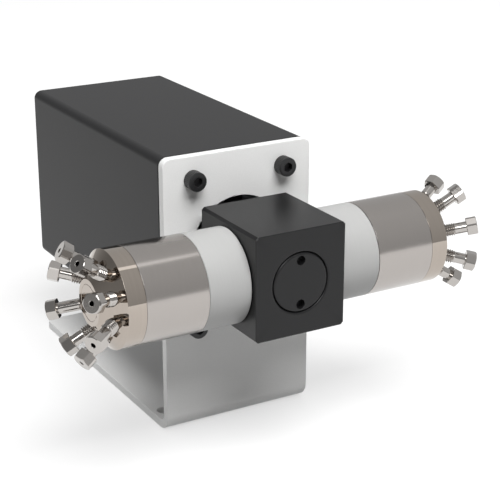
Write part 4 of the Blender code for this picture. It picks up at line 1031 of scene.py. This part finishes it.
# %% Floor
floor_finish = bpy.data.materials.new("matt_white_floor")
floor_finish.use_nodes = True
shader = shader_of(floor_finish)
shader.inputs["Base Color"].default_value = linear("#a7a7a7")
shader.inputs["Roughness"].default_value = 1.0
shader.inputs["Specular IOR Level"].default_value = 0.0
shaded_finish = floor_finish.copy()
shaded_finish.name = "floor_under_the_base"
ray = add_node(floor_finish, "ShaderNodeLightPath")
seen = add_node(floor_finish, "ShaderNodeMath", {"operation": "MAXIMUM"}, _0=ray.outputs["Is Camera Ray"],
                _1=ray.outputs["Is Glossy Ray"]).outputs[0]
seen = add_node(floor_finish, "ShaderNodeMath", {"operation": "MAXIMUM"}, _0=seen,
                _1=ray.outputs["Is Transmission Ray"]).outputs[0]
added_white = 0.58
lift = add_node(floor_finish, "ShaderNodeMath", {"operation": "MULTIPLY"}, _0=seen, _1=added_white).outputs[0]
shader.inputs["Emission Color"].default_value = (1, 1, 1, 1)
floor_finish.node_tree.links.new(lift, shader.inputs["Emission Strength"])


def level_corners(west, south, east, north, z):
    """Corners of a level rectangle, anticlockwise from above, so that its face points up."""
    return [(west, south, z), (east, south, z), (east, north, z), (west, north, z)]


reach = 2.5
inset, behind_bend = 3 * MM, 8.5 * MM  # so the shade shows only through the base's holes
corners = level_corners(-reach, -reach, reach, reach, 0)
corners += level_corners(bracket_low.x + inset, bracket_low.y + behind_bend, bracket_high.x - inset,
                         bracket_high.y - inset, 0.1 * MM)
floor_mesh = bpy.data.meshes.new("floor")
floor_mesh.from_pydata(corners, [], [(0, 1, 2, 3), (4, 5, 6, 7)])
floor_mesh.materials.append(floor_finish)
floor_mesh.materials.append(shaded_finish)
floor_mesh.polygons[1].material_index = 1
floor = add_object("floor", floor_mesh)
floor.location.z = -0.2 * MM
print("the floor is", 2 * reach, "m wide")

# %% [markdown]
# ## The room
# The room gives two lights. Scattered light, which matt surfaces gather, is dim in front and
# bright behind, so that the space under the actuator isn't dark and the front keeps its
# shadows. Mirrored light, which gloss shows, is a little brighter overhead than at the
# horizon, and darkest towards the left, which the left valve's cone and its nuts mirror.
# Light Path's Is Glossy Ray picks between them, and both depend only on direction.

# %% Room light
room = bpy.data.worlds.new("grey_room")
bpy.context.scene.world = room
room.use_nodes = True
background = room.node_tree.nodes["Background"]
direction = add_node(room, "ShaderNodeTexCoord").outputs["Generated"]
facing = add_node(room, "ShaderNodeSeparateXYZ", Vector=direction).outputs
smooth = {"interpolation_type": "SMOOTHSTEP"}
up = add_node(room, "ShaderNodeMapRange", Value=facing["Z"], From_Min=0.0, From_Max=1.0, To_Min=0.52,
              To_Max=0.67).outputs["Result"]
aside = add_node(room, "ShaderNodeMath", {"operation": "ADD"}, _0=facing["X"], _1=0.7).outputs[0]
aside = add_node(room, "ShaderNodeMath", {"operation": "ABSOLUTE"}, _0=aside).outputs[0]
across = add_node(room, "ShaderNodeMapRange", smooth, Value=aside, From_Min=0.0, From_Max=0.9, To_Min=0.38,
                  To_Max=1.0).outputs["Result"]
mirrored_light = add_node(room, "ShaderNodeMath", {"operation": "MULTIPLY"}, _0=up, _1=across).outputs[0]
scattered_light = add_node(room, "ShaderNodeMapRange", smooth, Value=facing["Y"], From_Min=-0.6, From_Max=0.5,
                           To_Min=0.05, To_Max=0.7).outputs["Result"]
ray = add_node(room, "ShaderNodeLightPath")
room_light = add_node(room, "ShaderNodeMix", _0=ray.outputs["Is Glossy Ray"], _2=scattered_light,
                      _3=mirrored_light).outputs[0]
room.node_tree.links.new(room_light, background.inputs["Strength"])
background.inputs["Color"].default_value = (1, 1, 1, 1)
print("the room's light takes", len(room.node_tree.nodes), "nodes")

# %% [markdown]
# ## The lamps
# One large lamp, high in front, is the key light: it whitens the bracket and drops soft
# shadows. It isn't mirrored, because the photograph's metal shows no such bright patch. A thin
# strip overhead gives each barrel its narrow bright line. A third lamp at the left is seen
# only in gloss, where it lights the rounded edges of the black pieces.

# %% Lamps
def soft_lamp(name, azimuth, elevation, width, height, brightness, mirrored):
    """A lamp 3 m from the object, at two angles in degrees, facing it.

    Brightness is its radiance, so its power = 4 * brightness * width * height.
    """
    away = direction_at(azimuth, elevation)
    light = bpy.data.lights.new(name, "AREA")
    light.shape = "RECTANGLE"
    light.size, light.size_y = width, height
    light.energy = 4 * brightness * width * height
    lamp = add_object(name, light)
    aim = away.to_track_quat("Z", "Y")
    lamp.matrix_world = Matrix.Translation(3 * away) @ aim.to_matrix().to_4x4()
    lamp.visible_glossy = mirrored
    return lamp


soft_lamp("overhead_strip", 0, 84, 3.0, 0.4, 0.7, True)
soft_lamp("front_key", -4, 58, 2.2, 1.6, 8.7, False)
edge_light = soft_lamp("left_edge_light", -42, 42, 1.5, 1.2, 4.5, True)
edge_light.visible_diffuse = False
